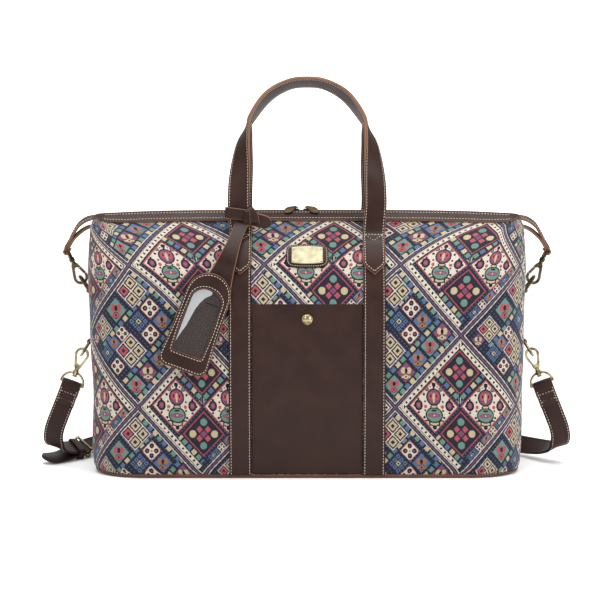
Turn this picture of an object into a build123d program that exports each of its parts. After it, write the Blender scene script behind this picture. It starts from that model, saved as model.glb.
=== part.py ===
"""Carpet bag: a zipped tapestry weekender with leather trim, handles, tag and shoulder strap.

Frame: origin at the centre of the base on the floor, +X right, +Y to the back, +Z up, in mm.
"""

import os
from math import atan2, cos, radians, sin, sqrt

from build123d import *

# Cloth body
body_half_width_top = 254.0
body_half_width_mid = body_half_width_top - 3.5
body_half_width_base = body_half_width_top - 6.0
body_half_depth = 100.5
base_half_depth = 92.0
shoulder_half_depth = 99.0
belly_height = 104.5
shoulder_radius = 110.0
trim_low_half_depth = 45.0
zip_half_depth = 25.0
body_top = 300.0
shoulder_start = body_top - 110.0
plan_corner_radius = 62.0
base_corner_radius = 12.0
top_corner_radius = 9.0
wall = 3.0
lining_wall = 1.0
board_thickness = 3.0
soft_gap = 0.3
leather_foot = 0.6
# How far the body is from the size its soft parts were drawn for; they move out and up by this.
extra_width = body_half_width_top - 254.0
extra_height = body_top - 300.0

# Leather on the body
band_width = 25.0
band_centre = 75.5
band_thickness = 2.4
trim_thickness = 2.4
piping_thickness = 2.5
piping_height = 5.5
seam_width = 10.0
seam_thickness = 2.0
pocket_height = body_top - 102.0
pocket_thickness = 2.0
stud_diameter = 12.0
stud_height = pocket_height - 17.0

# Badge
badge_height = body_top - 49.0
patch_width = 46.0
patch_height = 27.0
patch_thickness = 1.8
plate_width = 38.7
plate_height = 23.4
plate_thickness = 1.5
rivet_diameter = 2.4

# Zip
zip_half_length = body_half_width_top - 14.0
tape_thickness = 2.0
teeth_width = 5.2
teeth_height = 3.2
slider_length = 11.0
slider_width = 9.0
slider_thickness = 2.0
slider_left_x = -14.5
slider_right_x = 1.0
link_length = 22.0
link_width = 5.0
link_thickness = 1.4
leaf_length = 17.0
leaf_width = 9.5
leaf_thickness = 1.6
leaf_turn = 42.0
trim_slope_height = 15.3
zip_raise = 1.0

# Carrying handles
handle_width = 25.0
handle_thickness = 3.6
handle_tip_height = body_top - 65.0
handle_hinge_height = body_top + 6.0
handle_loop_height = 147.0
handle_reach = 14.0

# Hooks and rings
wire_radius = 1.3
side_ring_half_width = 8.0
side_ring_length = 20.0
side_ring_x = body_half_width_top + 2.8
ring_loop_radius = 3.2
ring_loop_length = 11.0
hook_thickness = 3.2
hook_head_radius = 8.5
hook_head_distance = 23.0
hook_hole_radius = 5.6
hook_root_radius = 4.0
gate_pivot = (-3.0, 12.25)
gate_reach = 9.4
gate_gap = 0.4
boss_radius = 3.3
pin_radius = 1.5
corner_swivel = (body_half_width_top + 23.3, body_top - 56.7)
corner_hook_tilt = 27.0
strap_swivel = (body_half_width_top + 20.2, 109.3)
strap_hook_tilt = 20.0

# Corner tabs
tab_width = 12.6
tab_bar = (body_half_width_top + 28.6, body_top - 45.2)
tab_end_radius = 4.2

# Shoulder strap
strap_width = 23.0
strap_thickness = 3.2
strap_ring_half_width = 13.5
strap_ring_wire = 1.4

# Luggage tag
tag_width = 56.0
tag_length = 114.0
tag_thickness = 5.0
tag_tilt = 20.4
tag_strap_width = 15.0
tag_strap_thickness = 2.2
window_width = 36.0
window_length = 62.0

FAR = 400.0


def block(x0, x1, y0, y1, z0, z1):
    """Box between two corners."""
    centre = Pos((x0 + x1) / 2, (y0 + y1) / 2, (z0 + z1) / 2)
    return centre * Box(x1 - x0, y1 - y0, z1 - z0)


def shoulder_depth(z):
    """Half depth of the body at a height on the shoulder arc."""
    return shoulder_half_depth - shoulder_radius + sqrt(shoulder_radius**2 - (z - shoulder_start) ** 2)


def side_depth(z):
    """Half depth of the bulging side at a height, on the arc through base, belly and shoulder."""
    x1, z1, x2, z2, x3, z3 = base_half_depth, 0, body_half_depth, belly_height, shoulder_half_depth, shoulder_start
    a = x1 * (z2 - z3) - z1 * (x2 - x3) + x2 * z3 - x3 * z2
    b = (x1**2 + z1**2) * (z3 - z2) + (x2**2 + z2**2) * (z1 - z3) + (x3**2 + z3**2) * (z2 - z1)
    c = (x1**2 + z1**2) * (x2 - x3) + (x2**2 + z2**2) * (x3 - x1) + (x3**2 + z3**2) * (x1 - x2)
    centre_x, centre_z = -b / (2 * a), -c / (2 * a)
    radius = sqrt((x1 - centre_x) ** 2 + (z1 - centre_z) ** 2)
    return centre_x + sqrt(radius**2 - (z - centre_z) ** 2)


def shoulder_end():
    """Height at which the shoulder arc meets the sloped trim."""
    return shoulder_start + sqrt(
        shoulder_radius**2 - (trim_low_half_depth - shoulder_half_depth + shoulder_radius) ** 2
    )


def section(grow):
    """Side-on outline of the body: bulging sides, rolled shoulders and sloped zip trim."""
    end_z = shoulder_end()
    middle_z = (shoulder_start + end_z) / 2
    base, side = (base_half_depth, 0), (shoulder_half_depth, shoulder_start)
    low, top = (trim_low_half_depth, end_z), (zip_half_depth, body_top)
    belly = (body_half_depth, belly_height)
    shoulder = (shoulder_depth(middle_z), middle_z)
    edges = []
    for s in (1, -1):
        edges.append(ThreePointArc((s * base[0], base[1]), (s * belly[0], belly[1]), (s * side[0], side[1])))
        edges.append(ThreePointArc((s * side[0], side[1]), (s * shoulder[0], shoulder[1]), (s * low[0], low[1])))
        edges.append(Line((s * low[0], low[1]), (s * top[0], top[1])))
    edges.append(Line((-base[0], 0), (base[0], 0)))
    edges.append(Line((-top[0], top[1]), (top[0], top[1])))
    face = make_face(edges)
    return offset(face, grow) if grow else face


def outline(grow):
    """Front outline of the body, a little wider at the top than at the base."""
    points = [
        (-body_half_width_base, 0),
        (body_half_width_base, 0),
        (body_half_width_mid, body_top / 2),
        (body_half_width_top, body_top),
        (-body_half_width_top, body_top),
        (-body_half_width_mid, body_top / 2),
    ]
    face = make_face(Polyline(*points, close=True))
    low = [v for v in face.vertices() if v.Y < 1]
    face = fillet(low, base_corner_radius)
    high = [v for v in face.vertices() if v.Y > body_top - 1]
    face = fillet(high, top_corner_radius)
    return offset(face, grow) if grow else face


def bag_form(grow):
    """Closed solid of the body's outer shape, grown or shrunk evenly."""
    side_on = extrude(Plane.YZ * section(grow), FAR, both=True)
    front_on = extrude(Plane.XZ * outline(grow), FAR, both=True)
    plan = RectangleRounded(
        2 * (body_half_width_top + grow),
        2 * (body_half_depth + 0.6 + grow),
        plan_corner_radius + grow,
    )
    return side_on & front_on & Pos(0, 0, -20) * extrude(plan, FAR)


def skin(thickness, inner=0.0):
    """Layer that lies on the body between two offsets."""
    return bag_form(inner + thickness) - bag_form(inner)


def widened(stations):
    """Strap stations moved sideways with the body's two ends."""
    return [((x + extra_width * max(-1, min(1, x / 200)), y, z), across) for (x, y, z), across in stations]


def raised(stations):
    """Strap stations moved up with the body's top."""
    return [((x, y, z + extra_height), across) for (x, y, z), across in stations]


def smooth_stations(stations, steps):
    """Catmull-Rom points and width directions through a strap's stations."""
    count = len(stations)
    out = []
    for i in range(count - 1):
        group = [stations[min(max(i + k, 0), count - 1)] for k in (-1, 0, 1, 2)]
        for j in range(steps):
            t = j / steps
            row = []
            for part in (0, 1):
                p0, p1, p2, p3 = [Vector(*g[part]) for g in group]
                row.append(
                    (p1 * 2 + (p2 - p0) * t + (p0 * 2 - p1 * 5 + p2 * 4 - p3) * t**2
                     + (p1 * 3 - p0 - p2 * 3 + p3) * t**3) * 0.5
                )
            out.append((row[0], row[1].normalized()))
    out.append((Vector(*stations[-1][0]), Vector(*stations[-1][1]).normalized()))
    return out


def ribbon(stations, width, thickness, steps=3):
    """Flat strap through stations of (centre, width direction)."""
    rows = smooth_stations(stations, steps)
    faces = []
    for i, (centre, across) in enumerate(rows):
        before = rows[max(i - 1, 0)][0]
        after = rows[min(i + 1, len(rows) - 1)][0]
        along = (after - before).normalized()
        across = (across - along * across.dot(along)).normalized()
        faces.append(Plane(origin=centre, x_dir=across, z_dir=along) * Rectangle(width, thickness))
    return loft(faces, ruled=True)


def strap_length(stations):
    """Length along a strap's centre line."""
    rows = smooth_stations(stations, 6)
    return sum((rows[i + 1][0] - rows[i][0]).length for i in range(len(rows) - 1))


def left_of(solid):
    """The same piece on the other side of the bag."""
    return mirror(solid, about=Plane.YZ)


def behind(solid):
    """The same piece on the back of the bag."""
    return mirror(solid, about=Plane.XZ)


def save(name, *solids):
    """Write one node from its solids."""
    bodies = []
    for s in solids:
        bodies.extend(s.solids())
    shape = bodies[0] if len(bodies) == 1 else Compound(children=bodies)
    export_step(shape, f"parts/{name}.step")


def build_body():
    """Cloth panels, base, lining and zip tapes."""
    shell = skin(wall, -wall)
    zip_slot = block(-zip_half_length, zip_half_length, -zip_half_depth + 1, zip_half_depth - 1, body_top - 12, FAR)
    shell = shell - zip_slot
    save("front_panel", shell & block(-FAR, FAR, -FAR, 0, wall, FAR))
    save("back_panel", shell & block(-FAR, FAR, 0, FAR, wall, FAR))
    outer = bag_form(0)
    save("base_panel", outer & block(-FAR, FAR, -FAR, FAR, 0, wall))
    board_top = wall + soft_gap + board_thickness
    inside = bag_form(-wall - soft_gap)
    save("base_board", inside & block(-FAR, FAR, -FAR, FAR, 0, board_top))
    lining = skin(lining_wall, -wall - soft_gap - lining_wall) - zip_slot
    save("lining", lining & block(-FAR, FAR, -FAR, FAR, board_top + soft_gap, FAR))
    tape_edge = teeth_width / 2 + 0.2
    tape = block(
        -zip_half_length, zip_half_length, -zip_half_depth + 1, -tape_edge, body_top - tape_thickness, body_top
    )
    save("zip_tape_front", tape)
    save("zip_tape_rear", behind(tape))
    half = teeth_width / 2
    teeth = block(
        -zip_half_length, zip_half_length, -half, half, body_top + zip_raise - teeth_height, body_top + zip_raise
    )
    save("zip_teeth", chamfer(teeth.edges().filter_by(Axis.X), 0.6))


def build_leather():
    """Bands, trims, piping, seam strips and pocket sewn on the cloth."""
    end_z = shoulder_end()
    piping_top = leather_foot + piping_height
    save("base_piping", skin(piping_thickness) & block(-FAR, FAR, -FAR, FAR, leather_foot, piping_top))
    strip = skin(seam_thickness)
    half = seam_width / 2
    sides = [
        strip & block(200, FAR, -half, half, piping_top, end_z - 4),
        strip & block(-FAR, -200, -half, half, piping_top, end_z - 4),
    ]
    save("seam_strips", *sides)
    trim = skin(trim_thickness) & block(
        -zip_half_length - 6, zip_half_length + 6, -FAR, -zip_half_depth + 0.5, end_z, FAR
    )
    save("trim_front", trim)
    save("trim_rear", behind(trim))
    layer = skin(band_thickness)
    x0 = band_centre - band_width / 2
    band = layer & block(x0, x0 + band_width, -FAR, -20, piping_top, end_z - 0.3)
    save("band_front_right", band)
    save("band_front_left", left_of(band))
    save("band_rear_right", behind(band))
    save("band_rear_left", behind(left_of(band)))
    pocket_edge = x0 - 0.1
    pocket = skin(pocket_thickness) & block(-pocket_edge, pocket_edge, -FAR, -50, piping_top, pocket_height)
    save("front_pocket", pocket)
    face_y = -(side_depth(stud_height - stud_diameter / 2) + pocket_thickness + 0.1)
    radius = stud_diameter / 2
    disc = Plane(origin=(0, face_y, stud_height), z_dir=(0, -1, 0)) * extrude(Circle(radius), 1.2)
    dome_radius = 8.0
    sink = sqrt(dome_radius**2 - (radius - 0.8) ** 2)
    dome = Pos(0, face_y - 1.2 + sink, stud_height) * Sphere(dome_radius)
    save("pocket_stud", disc + (dome & block(-FAR, FAR, -FAR, face_y - 1.1, 0, FAR)))


def build_badge():
    """Leather patch, bowed metal plate and its four corner rivets."""
    face = Pos(0, badge_height) * RectangleRounded(patch_width, patch_height, 3)
    prism = extrude(Plane.XZ * face, FAR)
    save("badge_patch", skin(patch_thickness) & prism & block(-FAR, FAR, -FAR, 0, 0, FAR))
    lean = atan2(badge_height - shoulder_start, shoulder_depth(badge_height) - shoulder_half_depth + shoulder_radius)
    out = Vector(0, -cos(lean), sin(lean))
    centre = Vector(0, -shoulder_depth(badge_height), badge_height) + out * (patch_thickness + 0.15)
    seat = Plane(origin=centre, x_dir=(1, 0, 0), z_dir=out)
    w, h, bow = plate_width / 2, plate_height / 2, 1.6
    plate = make_face(
        [
            Line((-w + bow, -h + bow), (-w + bow, h - bow)),
            ThreePointArc((-w + bow, h - bow), (0, h), (w - bow, h - bow)),
            Line((w - bow, h - bow), (w - bow, -h + bow)),
            ThreePointArc((w - bow, -h + bow), (0, -h), (-w + bow, -h + bow)),
        ]
    )
    plate = chamfer(extrude(plate, plate_thickness).edges().group_by(Axis.Z)[-1], 0.5)
    save("badge_plate", seat * plate)
    rivets = []
    for sx in (-1, 1):
        for sy in (-1, 1):
            place = Pos(sx * (w - bow - 2.2), sy * (h - bow - 2.2), plate_thickness)
            rivets.append(seat * place * extrude(Circle(rivet_diameter / 2), 0.7))
    save("badge_rivets", *rivets)


def build_zip_parts():
    """Two sliders, each with a link and a leaf pull that lies over the front trim."""
    seat = body_top + zip_raise + soft_gap
    bar_z = seat + slider_thickness + 1.9
    trim_slope = atan2(trim_slope_height, trim_low_half_depth - zip_half_depth)
    for name, x, side in (("left", slider_left_x, -1), ("right", slider_right_x, 1)):
        plate = block(x - slider_length / 2, x + slider_length / 2, -slider_width / 2, slider_width / 2,
                      seat, seat + slider_thickness)
        plate = fillet(plate.edges().filter_by(Axis.Z), 2.5)
        ears = []
        for s in (-1, 1):
            ears.append(block(x + s * 3.4 - 0.5, x + s * 3.4 + 0.5, -1.4, 1.4, seat + 1, bar_z + 0.9))
        pin = Pos(x, 0, bar_z) * Rot(0, 90, 0) * Cylinder(0.7, 7.6)
        save(f"zip_slider_{name}", plate + ears[0] + ears[1] + pin)
        knuckle = Pos(x, 0, bar_z) * Rot(0, 90, 0) * (Cylinder(1.7, 4.6) - Cylinder(0.95, 10))
        bar_y = -link_length
        tongue = block(x - 1.5, x + 1.5, bar_y + 2.4, -1.2, bar_z - link_thickness / 2, bar_z + link_thickness / 2)
        fork = block(x - 3.4, x + 3.4, bar_y + 2.2, bar_y + 3.6, bar_z - 0.7, bar_z + 0.7)
        arms = []
        for s in (-1, 1):
            arms.append(block(x + s * 2.9 - 0.5, x + s * 2.9 + 0.5, bar_y - 0.9, bar_y + 3, bar_z - 0.7, bar_z + 0.7))
        link_pin = Pos(x, bar_y, bar_z) * Rot(0, 90, 0) * Cylinder(0.6, 6.8)
        link = knuckle + tongue + fork + arms[0] + arms[1] + link_pin
        link = link - Pos(x, 0, bar_z) * Rot(0, 90, 0) * Cylinder(0.95, 4.8)
        save(f"zip_link_{name}", link)
        eye = Pos(x, bar_y, bar_z) * Rot(0, 90, 0) * (Cylinder(1.5, 4.2) - Cylinder(0.85, 10))
        lie = Plane(
            origin=(x, bar_y, bar_z),
            x_dir=(1, 0, 0),
            z_dir=(0, -sin(trim_slope), cos(trim_slope)),
        )
        turn = Rot(0, 0, side * leaf_turn)
        half = leaf_width / 2
        leaf = make_face(
            [
                ThreePointArc((0, -1.5), (-half, -leaf_length * 0.55), (0, -leaf_length)),
                ThreePointArc((0, -leaf_length), (half, -leaf_length * 0.55), (0, -1.5)),
            ]
        )
        blade = turn * Pos(0, 0, 0.8) * extrude(leaf, leaf_thickness)
        stem = Pos(0, -2.4, 0.7) * Box(2.4, 3.6, 1.2)
        bore = Pos(x, bar_y, bar_z) * Rot(0, 90, 0) * Cylinder(0.85, 4.4)
        clear = block(x - 4, x + 4, bar_y - 1.3, bar_y + 6, bar_z - 4, bar_z + 4)
        save(f"zip_leaf_{name}", (lie * (blade + stem) - clear) + (lie * stem - bore) + eye)


def handle_path():
    """Centre line and twist of the front handle above its hinge, left to right."""
    tallness = handle_loop_height / 147.0
    legs = [
        (-78.4, -54.9, -2, 0),
        (-78.3, -51.5, 16, 8),
        (-77.3, -47.0, 35, 32),
        (-74.0, -38.5, 72, 68),
        (-65.0, -28.0, 105, 90),
        (-46.0, -19.5, 130, 90),
        (-22.0, -15.0, 144, 90),
    ]
    rows = [(x, y, handle_hinge_height + up * tallness, t) for x, y, up, t in legs]
    rows.append((0, -handle_reach, handle_hinge_height + handle_loop_height, 90))
    rows += [(-x, y, z, t) for x, y, z, t in reversed(rows[:-1])]
    stations = []
    for i, (x, y, z, t) in enumerate(rows):
        a, b = rows[max(i - 1, 0)], rows[min(i + 1, len(rows) - 1)]
        dx, dz = b[0] - a[0], b[2] - a[2]
        run = sqrt(dx * dx + dz * dz)
        turn = radians(t)
        stations.append(((x, y, z), (-dz / run * cos(turn), sin(turn), dx / run * cos(turn))))
    return stations


def build_handles():
    """Two twisted strap loops and their sewn ends, which stand up from the bands."""
    loop = ribbon(handle_path(), handle_width, handle_thickness)
    loop = loop & block(-FAR, FAR, -FAR, FAR, handle_hinge_height + soft_gap, 2 * FAR)
    save("handle_front", loop)
    save("handle_rear", behind(loop))
    half = handle_width / 2
    under_knot = handle_hinge_height - 16
    tip = make_face(
        [
            Line((band_centre - half, under_knot), (band_centre - half, handle_tip_height + half)),
            ThreePointArc(
                (band_centre - half, handle_tip_height + half),
                (band_centre, handle_tip_height),
                (band_centre + half, handle_tip_height + half),
            ),
            Line((band_centre + half, handle_tip_height + half), (band_centre + half, under_knot)),
            Line((band_centre + half, under_knot), (band_centre - half, under_knot)),
        ]
    )
    sewn = skin(handle_thickness, band_thickness) & extrude(Plane.XZ * tip, FAR) & block(
        -FAR, FAR, -FAR, -58.5, 0, under_knot - 7
    )
    root = ribbon(
        [
            ((band_centre, -60.0, under_knot - 15), (1, 0, 0)),
            ((band_centre + 1.5, -57.4, under_knot), (1, 0, 0)),
            ((band_centre + 3, -54.3, handle_hinge_height + 2), (1, 0, 0)),
        ],
        handle_width,
        handle_thickness,
        1,
    )
    root = root & block(-FAR, FAR, -FAR, FAR, 0, handle_hinge_height)
    root = root - bag_form(band_thickness)
    end = sewn + root
    save("handle_front_ends", end, left_of(end))
    save("handle_rear_ends", behind(end), behind(left_of(end)))


def bow_ring(half_width, length, wire):
    """D-shaped ring: bar along X at the origin, bow towards +Y."""
    straight = length - half_width
    ring = Pos(0, straight, 0) * Torus(half_width, wire)
    ring = ring & block(-FAR, FAR, straight, FAR, -FAR, FAR)
    ring += Rot(0, 90, 0) * Cylinder(wire, 2 * half_width)
    for s in (-1, 1):
        if straight > 0.01:
            ring += Pos(s * half_width, straight / 2, 0) * Rot(90, 0, 0) * Cylinder(wire, straight)
        ring += Pos(s * half_width, 0, 0) * Sphere(wire)
    return ring


def hook_parts():
    """Snap hook in its own plane: swivel pin at the origin, head towards +Y, gate on the -X side."""
    outer = make_hull(
        (Pos(0, hook_head_distance) * Circle(hook_head_radius) + Pos(0, 8) * Circle(hook_root_radius)).edges()
    )
    inner = make_hull(
        (Pos(0, hook_head_distance - 0.2) * Circle(hook_hole_radius) + Pos(0, 13) * Circle(2.6)).edges()
    )
    band = outer - inner
    px, py = gate_pivot
    reach = Pos(px, py) * Circle(gate_reach + gate_gap)
    swing = reach & Pos(-10, py - 0.25 + 10) * Rectangle(20, 20)
    body = extrude(band - swing, hook_thickness / 2, both=True)
    gate_area = Pos(px, py) * Circle(gate_reach) & Pos(-10.2, py + 10) * Rectangle(20, 20)
    gate = extrude(band & gate_area, hook_thickness / 2 - 0.3, both=True)
    neck = Pos(0, 4.6, 0) * Rot(90, 0, 0) * Cylinder(2.6, 3.6)
    pin = Pos(0, 0.8, 0) * Rot(90, 0, 0) * Cylinder(pin_radius, 10)
    head = Pos(0, -4.1, 0) * Rot(90, 0, 0) * Cylinder(2.7, 1.6)
    return body + neck + pin + head, gate


def swivel_ring(half_width, length, wire):
    """Ring whose bow carries the swivel's sleeve, with the sleeve's centre at the origin."""
    ring = Pos(0, -length, 0) * bow_ring(half_width, length, wire)
    sleeve = Rot(90, 0, 0) * Cylinder(boss_radius, 5)
    bore = Rot(90, 0, 0) * Cylinder(pin_radius + soft_gap, 20)
    room = Pos(0, -4.7, 0) * Rot(90, 0, 0) * Cylinder(3.4, 3.6)
    return ring + sleeve - bore - (room if length > 14 else bore)


def hook_plane(swivel, tilt, up):
    """Plane of a hook on the right side: Y runs from the swivel to the head."""
    lean = radians(tilt)
    head = Vector(-sin(lean), 0, cos(lean) * up)
    out = Vector(cos(lean), 0, sin(lean) * up)
    return Plane(origin=(swivel[0], 0, swivel[1]), x_dir=out, z_dir=out.cross(head))


def side_ring(plane, up):
    """Side ring whose bow passes through a hook's head; gives the ring and its bar's place."""
    bow = plane.from_local_coords((0.5, hook_head_distance - 1.5, 0))
    dx = bow.X - side_ring_x
    dz = sqrt(side_ring_length**2 - dx**2) * up
    bar = Vector(side_ring_x, 0, bow.Z - dz)
    reach = Vector(dx, 0, dz).normalized()
    lie = Plane(origin=bar, x_dir=(0, 1, 0), z_dir=Vector(0, 1, 0).cross(reach))
    return lie * bow_ring(side_ring_half_width, side_ring_length, wire_radius), bar


def ring_loop(bar):
    """Folded leather loop that holds a side ring's bar against the seam strip."""
    sleeve = Pos(bar.X, 0, bar.Z) * Rot(90, 0, 0) * Cylinder(ring_loop_radius, ring_loop_length)
    half = ring_loop_length / 2
    tongue = block(bar.X - 8, bar.X, -half, half, bar.Z - 3, bar.Z + 3)
    bore = Pos(bar.X, 0, bar.Z) * Rot(90, 0, 0) * Cylinder(wire_radius + soft_gap, 40)
    return sleeve + tongue - bore - bag_form(seam_thickness)


def save_pair(name, solid):
    """Right-hand piece and its mirrored left-hand twin, as two nodes."""
    save(f"{name}_right", solid)
    save(f"{name}_left", left_of(solid))


def build_hooks():
    """Corner hooks and strap hooks with their gates, rings and leather loops."""
    hook, gate = hook_parts()
    corner = hook_plane(corner_swivel, corner_hook_tilt, -1)
    strap = hook_plane(strap_swivel, strap_hook_tilt, 1)
    save_pair("corner_hook", corner * hook)
    save_pair("corner_gate", corner * gate)
    save_pair("strap_hook", strap * hook)
    save_pair("strap_gate", strap * gate)
    upper, upper_bar = side_ring(corner, 1)
    lower, lower_bar = side_ring(strap, -1)
    save_pair("upper_ring", upper)
    save_pair("lower_ring", lower)
    upper_loop, lower_loop = ring_loop(upper_bar), ring_loop(lower_bar)
    save("upper_ring_loops", upper_loop, left_of(upper_loop))
    save("lower_ring_loops", lower_loop, left_of(lower_loop))
    save_pair("strap_ring", strap * swivel_ring(strap_ring_half_width, strap_ring_half_width, strap_ring_wire))
    dx, dz = tab_bar[0] - corner_swivel[0], tab_bar[1] - corner_swivel[1]
    drop = sqrt(dx * dx + dz * dz)
    reach = Vector(dx, 0, dz).normalized()
    lie = Plane(origin=(corner_swivel[0], 0, corner_swivel[1]), x_dir=(0, 1, 0), z_dir=Vector(0, -1, 0).cross(reach))
    eye = Pos(0, -drop, 0) * bow_ring(side_ring_half_width, drop, wire_radius)
    sleeve_y = corner * (Rot(90, 0, 0) * Cylinder(boss_radius, 5))
    bore = corner * (Rot(90, 0, 0) * Cylinder(pin_radius + soft_gap, 12))
    ring = lie * eye + sleeve_y - bore
    save("corner_rings", ring, left_of(ring))


def build_tabs():
    """Two-layer leather tabs that leave the top corners and fold round the corner rings."""
    bx, bz = tab_bar
    outer = [(-30.6, 41.2), (-20.6, 37.7), (-12.6, 30.2), (-6.1, 20.2), (-1.1, 10.7), (3.9, 1.5)]
    inner = [(-3.9, 1.0), (-5.4, 8.2), (-9.8, 15.2), (-17.6, 22.7), (-30.6, 29.2)]
    outer = [(bx + dx, bz + dz) for dx, dz in outer]
    inner = [(bx + dx, bz + dz) for dx, dz in inner]
    side = [Spline(*outer), Line(outer[-1], inner[0]), Spline(*inner), Line(inner[-1], outer[0])]
    face = make_face(side) + Pos(bx, bz) * Circle(tab_end_radius)
    tab = extrude(Plane.XZ * face, tab_width / 2, both=True)
    bore = Pos(bx, 0, bz) * Rot(90, 0, 0) * Cylinder(wire_radius + soft_gap, 60)
    save_pair("corner_tab", tab - bore - bag_form(soft_gap))


def falling_stations():
    """Right-hand strap from its ring down to the floor and into its curl."""
    plane = hook_plane(strap_swivel, strap_hook_tilt, 1)
    bar = plane.from_local_coords((0, -strap_ring_half_width, 0))
    start = plane.from_local_coords((0, -strap_ring_half_width - 3.4, 0))
    stations = [
        ((286.5, -1, 77), (0.94, 0, 0.33)),
        ((294, -2, 58), (0.96, 0, 0.27)),
        ((299.5, -2, 43), (0.99, 0, 0.14)),
        ((301.5, 1, 30), (0.99, 0.05, 0.1)),
        ((299, 9, 20.5), (0.93, 0.15, 0.3)),
        ((291, 20, 17), (0.8, 0.3, 0.5)),
    ]
    return [((start.X, 0, start.Z), (0.94, 0, 0.34)), *widened(stations)], bar


def strap_sleeve():
    """Fold of the strap round its ring's bar, on the right side."""
    plane = hook_plane(strap_swivel, strap_hook_tilt, 1)
    sleeve = Cylinder(strap_ring_wire + soft_gap + 2.2, strap_width)
    place = Pos(0, -strap_ring_half_width, 0) * Rot(0, 90, 0)
    bore = place * Cylinder(strap_ring_wire + soft_gap, 60)
    return plane * (place * sleeve), plane * bore


def build_strap():
    """Shoulder strap: short end with buckle on the left, long end behind the bag with its tail."""
    fall, bar = falling_stations()
    sleeve, bore = strap_sleeve()
    turned = widened([((292.5, 19, 17), (0.78, 0.4, 0.47))])
    overlap_end = widened([((283.5, 33.5, 14.2), (0.62, 0.62, 0.5)), ((275, 46, 14.2), (0.52, 0.65, 0.55))])
    short = ribbon(fall[:-1] + turned + overlap_end, strap_width, strap_thickness)
    short = short + sleeve - bore
    save("shoulder_strap_short", left_of(short))
    across_back = [
        ((280, 36, 15), (0.62, 0.4, 0.68)),
        ((266, 60, 13.5), (0.45, 0.42, 0.79)),
        ((243, 93, 13), (0.3, 0.4, 0.87)),
        ((205, 124, 13), (0.15, 0.35, 0.92)),
        ((150, 146, 13), (0.06, 0.3, 0.95)),
        ((60, 160, 13), (0.0, 0.25, 0.97)),
        ((-60, 158, 13), (0.0, 0.25, 0.97)),
        ((-150, 144, 13), (-0.06, 0.3, 0.95)),
        ((-205, 122, 13), (-0.15, 0.35, 0.92)),
        ((-243, 92, 12.5), (-0.3, 0.45, 0.84)),
        ((-266, 62, 12), (-0.5, 0.6, 0.62)),
        ((-281, 40, 9.5), (-0.55, 0.7, 0.45)),
        ((-293, 22, 6.5), (-0.5, 0.75, 0.3)),
        ((-303, 8, 6), (-0.5, 0.75, 0.3)),
        ((-312, -4, 8), (-0.5, 0.75, 0.3)),
    ]
    across_back = widened(across_back)
    long = ribbon(fall + across_back, strap_width, strap_thickness) + sleeve - bore
    save("shoulder_strap_long", long)
    for name, centre, depth in (("strap_keeper", (-280, 40.5, 11.6), 8), ("strap_buckle", (-273.5, 50.5, 12.2), 3)):
        centre = (centre[0] - extra_width, centre[1], centre[2])
        place = Plane(origin=centre, x_dir=(-0.55, 0.65, 0.5), z_dir=(0.56, 0.82, 0.05))
        frame = RectangleRounded(strap_width + 6, 14, 2) - Rectangle(strap_width + 2.6, 10.6)
        save(name, place * extrude(frame, depth / 2, both=True))
    print("strap lengths", strap_length(fall + overlap_end), strap_length(fall + across_back))


def build_tag():
    """Luggage tag: knot on the left handle root, strap, leather case, window and card."""
    lean = radians(tag_tilt)
    right = Vector(cos(lean), 0, -sin(lean))
    down = Vector(-sin(lean) * 0.993, -0.105, -cos(lean) * 0.993)
    up = down * -1
    normal = right.cross(up)
    origin = Vector(-100.3, -99.3, 238.5 + extra_height)
    lie = Plane(origin=origin, x_dir=right, z_dir=normal)
    half = tag_width / 2
    arch = half - 3
    case = make_face(
        [
            Line((-half, -tag_length), (half, -tag_length)),
            Line((half, -tag_length), (arch, -arch)),
            ThreePointArc((arch, -arch), (0, 0), (-arch, -arch)),
            Line((-arch, -arch), (-half, -tag_length)),
        ]
    )
    case = fillet([v for v in case.vertices() if v.Y < -tag_length + 1], 9)
    wide = window_width / 2
    window = Pos(0, -arch - 8) * make_face(
        [
            Line((-wide, -window_length), (wide, -window_length)),
            Line((wide, -window_length), (wide, 0)),
            ThreePointArc((wide, 0), (0, wide * 0.8), (-wide, 0)),
            Line((-wide, 0), (-wide, -window_length)),
        ]
    )
    hollow = offset(window, 2.5)
    middle = Pos(0, 0, 1.6) * extrude(hollow, 1.8)
    front_hole = Pos(0, 0, 3) * extrude(window, 4)
    slot = Pos(0, -9) * SlotOverall(18, 4)
    body = extrude(case, tag_thickness) - middle - front_hole - extrude(slot, 10)
    save("tag_case", lie * body)
    save("tag_card", lie * (Pos(0, 0, 1.75) * extrude(offset(window, 2.2), 0.8)))
    save("tag_window", lie * (Pos(0, 0, 2.7) * extrude(offset(window, 2.2), 0.5)))
    strap = ribbon(
        raised([
            ((-74.0, -64.5, 287.0), (1, 0, 0)),
            ((-77.5, -73.0, 280.0), (0.97, 0, -0.2)),
            ((-84.0, -90.5, 262.0), (0.94, 0, -0.34)),
            ((-90.5, -102.2, 248.0), (0.93, 0, -0.36)),
            ((-95.5, -105.9, 238.0), (0.93, 0, -0.36)),
            ((-99.0, -106.9, 229.5), (0.93, 0, -0.36)),
        ]),
        tag_strap_width,
        tag_strap_thickness,
    )
    save("tag_strap", strap)
    knot_height = 15.0
    knot = Pos(-77.6, -56.6, body_top - 4) * (Box(33, 12.5, knot_height) - Box(28.2, 8.6, 40))
    loose = ribbon(
        raised([
            ((-64, -64.5, 297), (0, 0, 1)),
            ((-54, -65.2, 294.5), (0.2, 0, 1)),
            ((-41, -64.8, 291.5), (0.25, 0, 1)),
        ]),
        13.0,
        tag_strap_thickness,
    )
    save("tag_knot", knot + loose)


def main():
    """Write every node."""
    os.makedirs("parts", exist_ok=True)
    build_body()
    build_leather()
    build_badge()
    build_zip_parts()
    build_handles()
    build_hooks()
    build_tabs()
    build_strap()
    build_tag()


main()
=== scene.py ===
import math

import bmesh
import bpy
import numpy as np
from mathutils import Matrix, Vector


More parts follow.
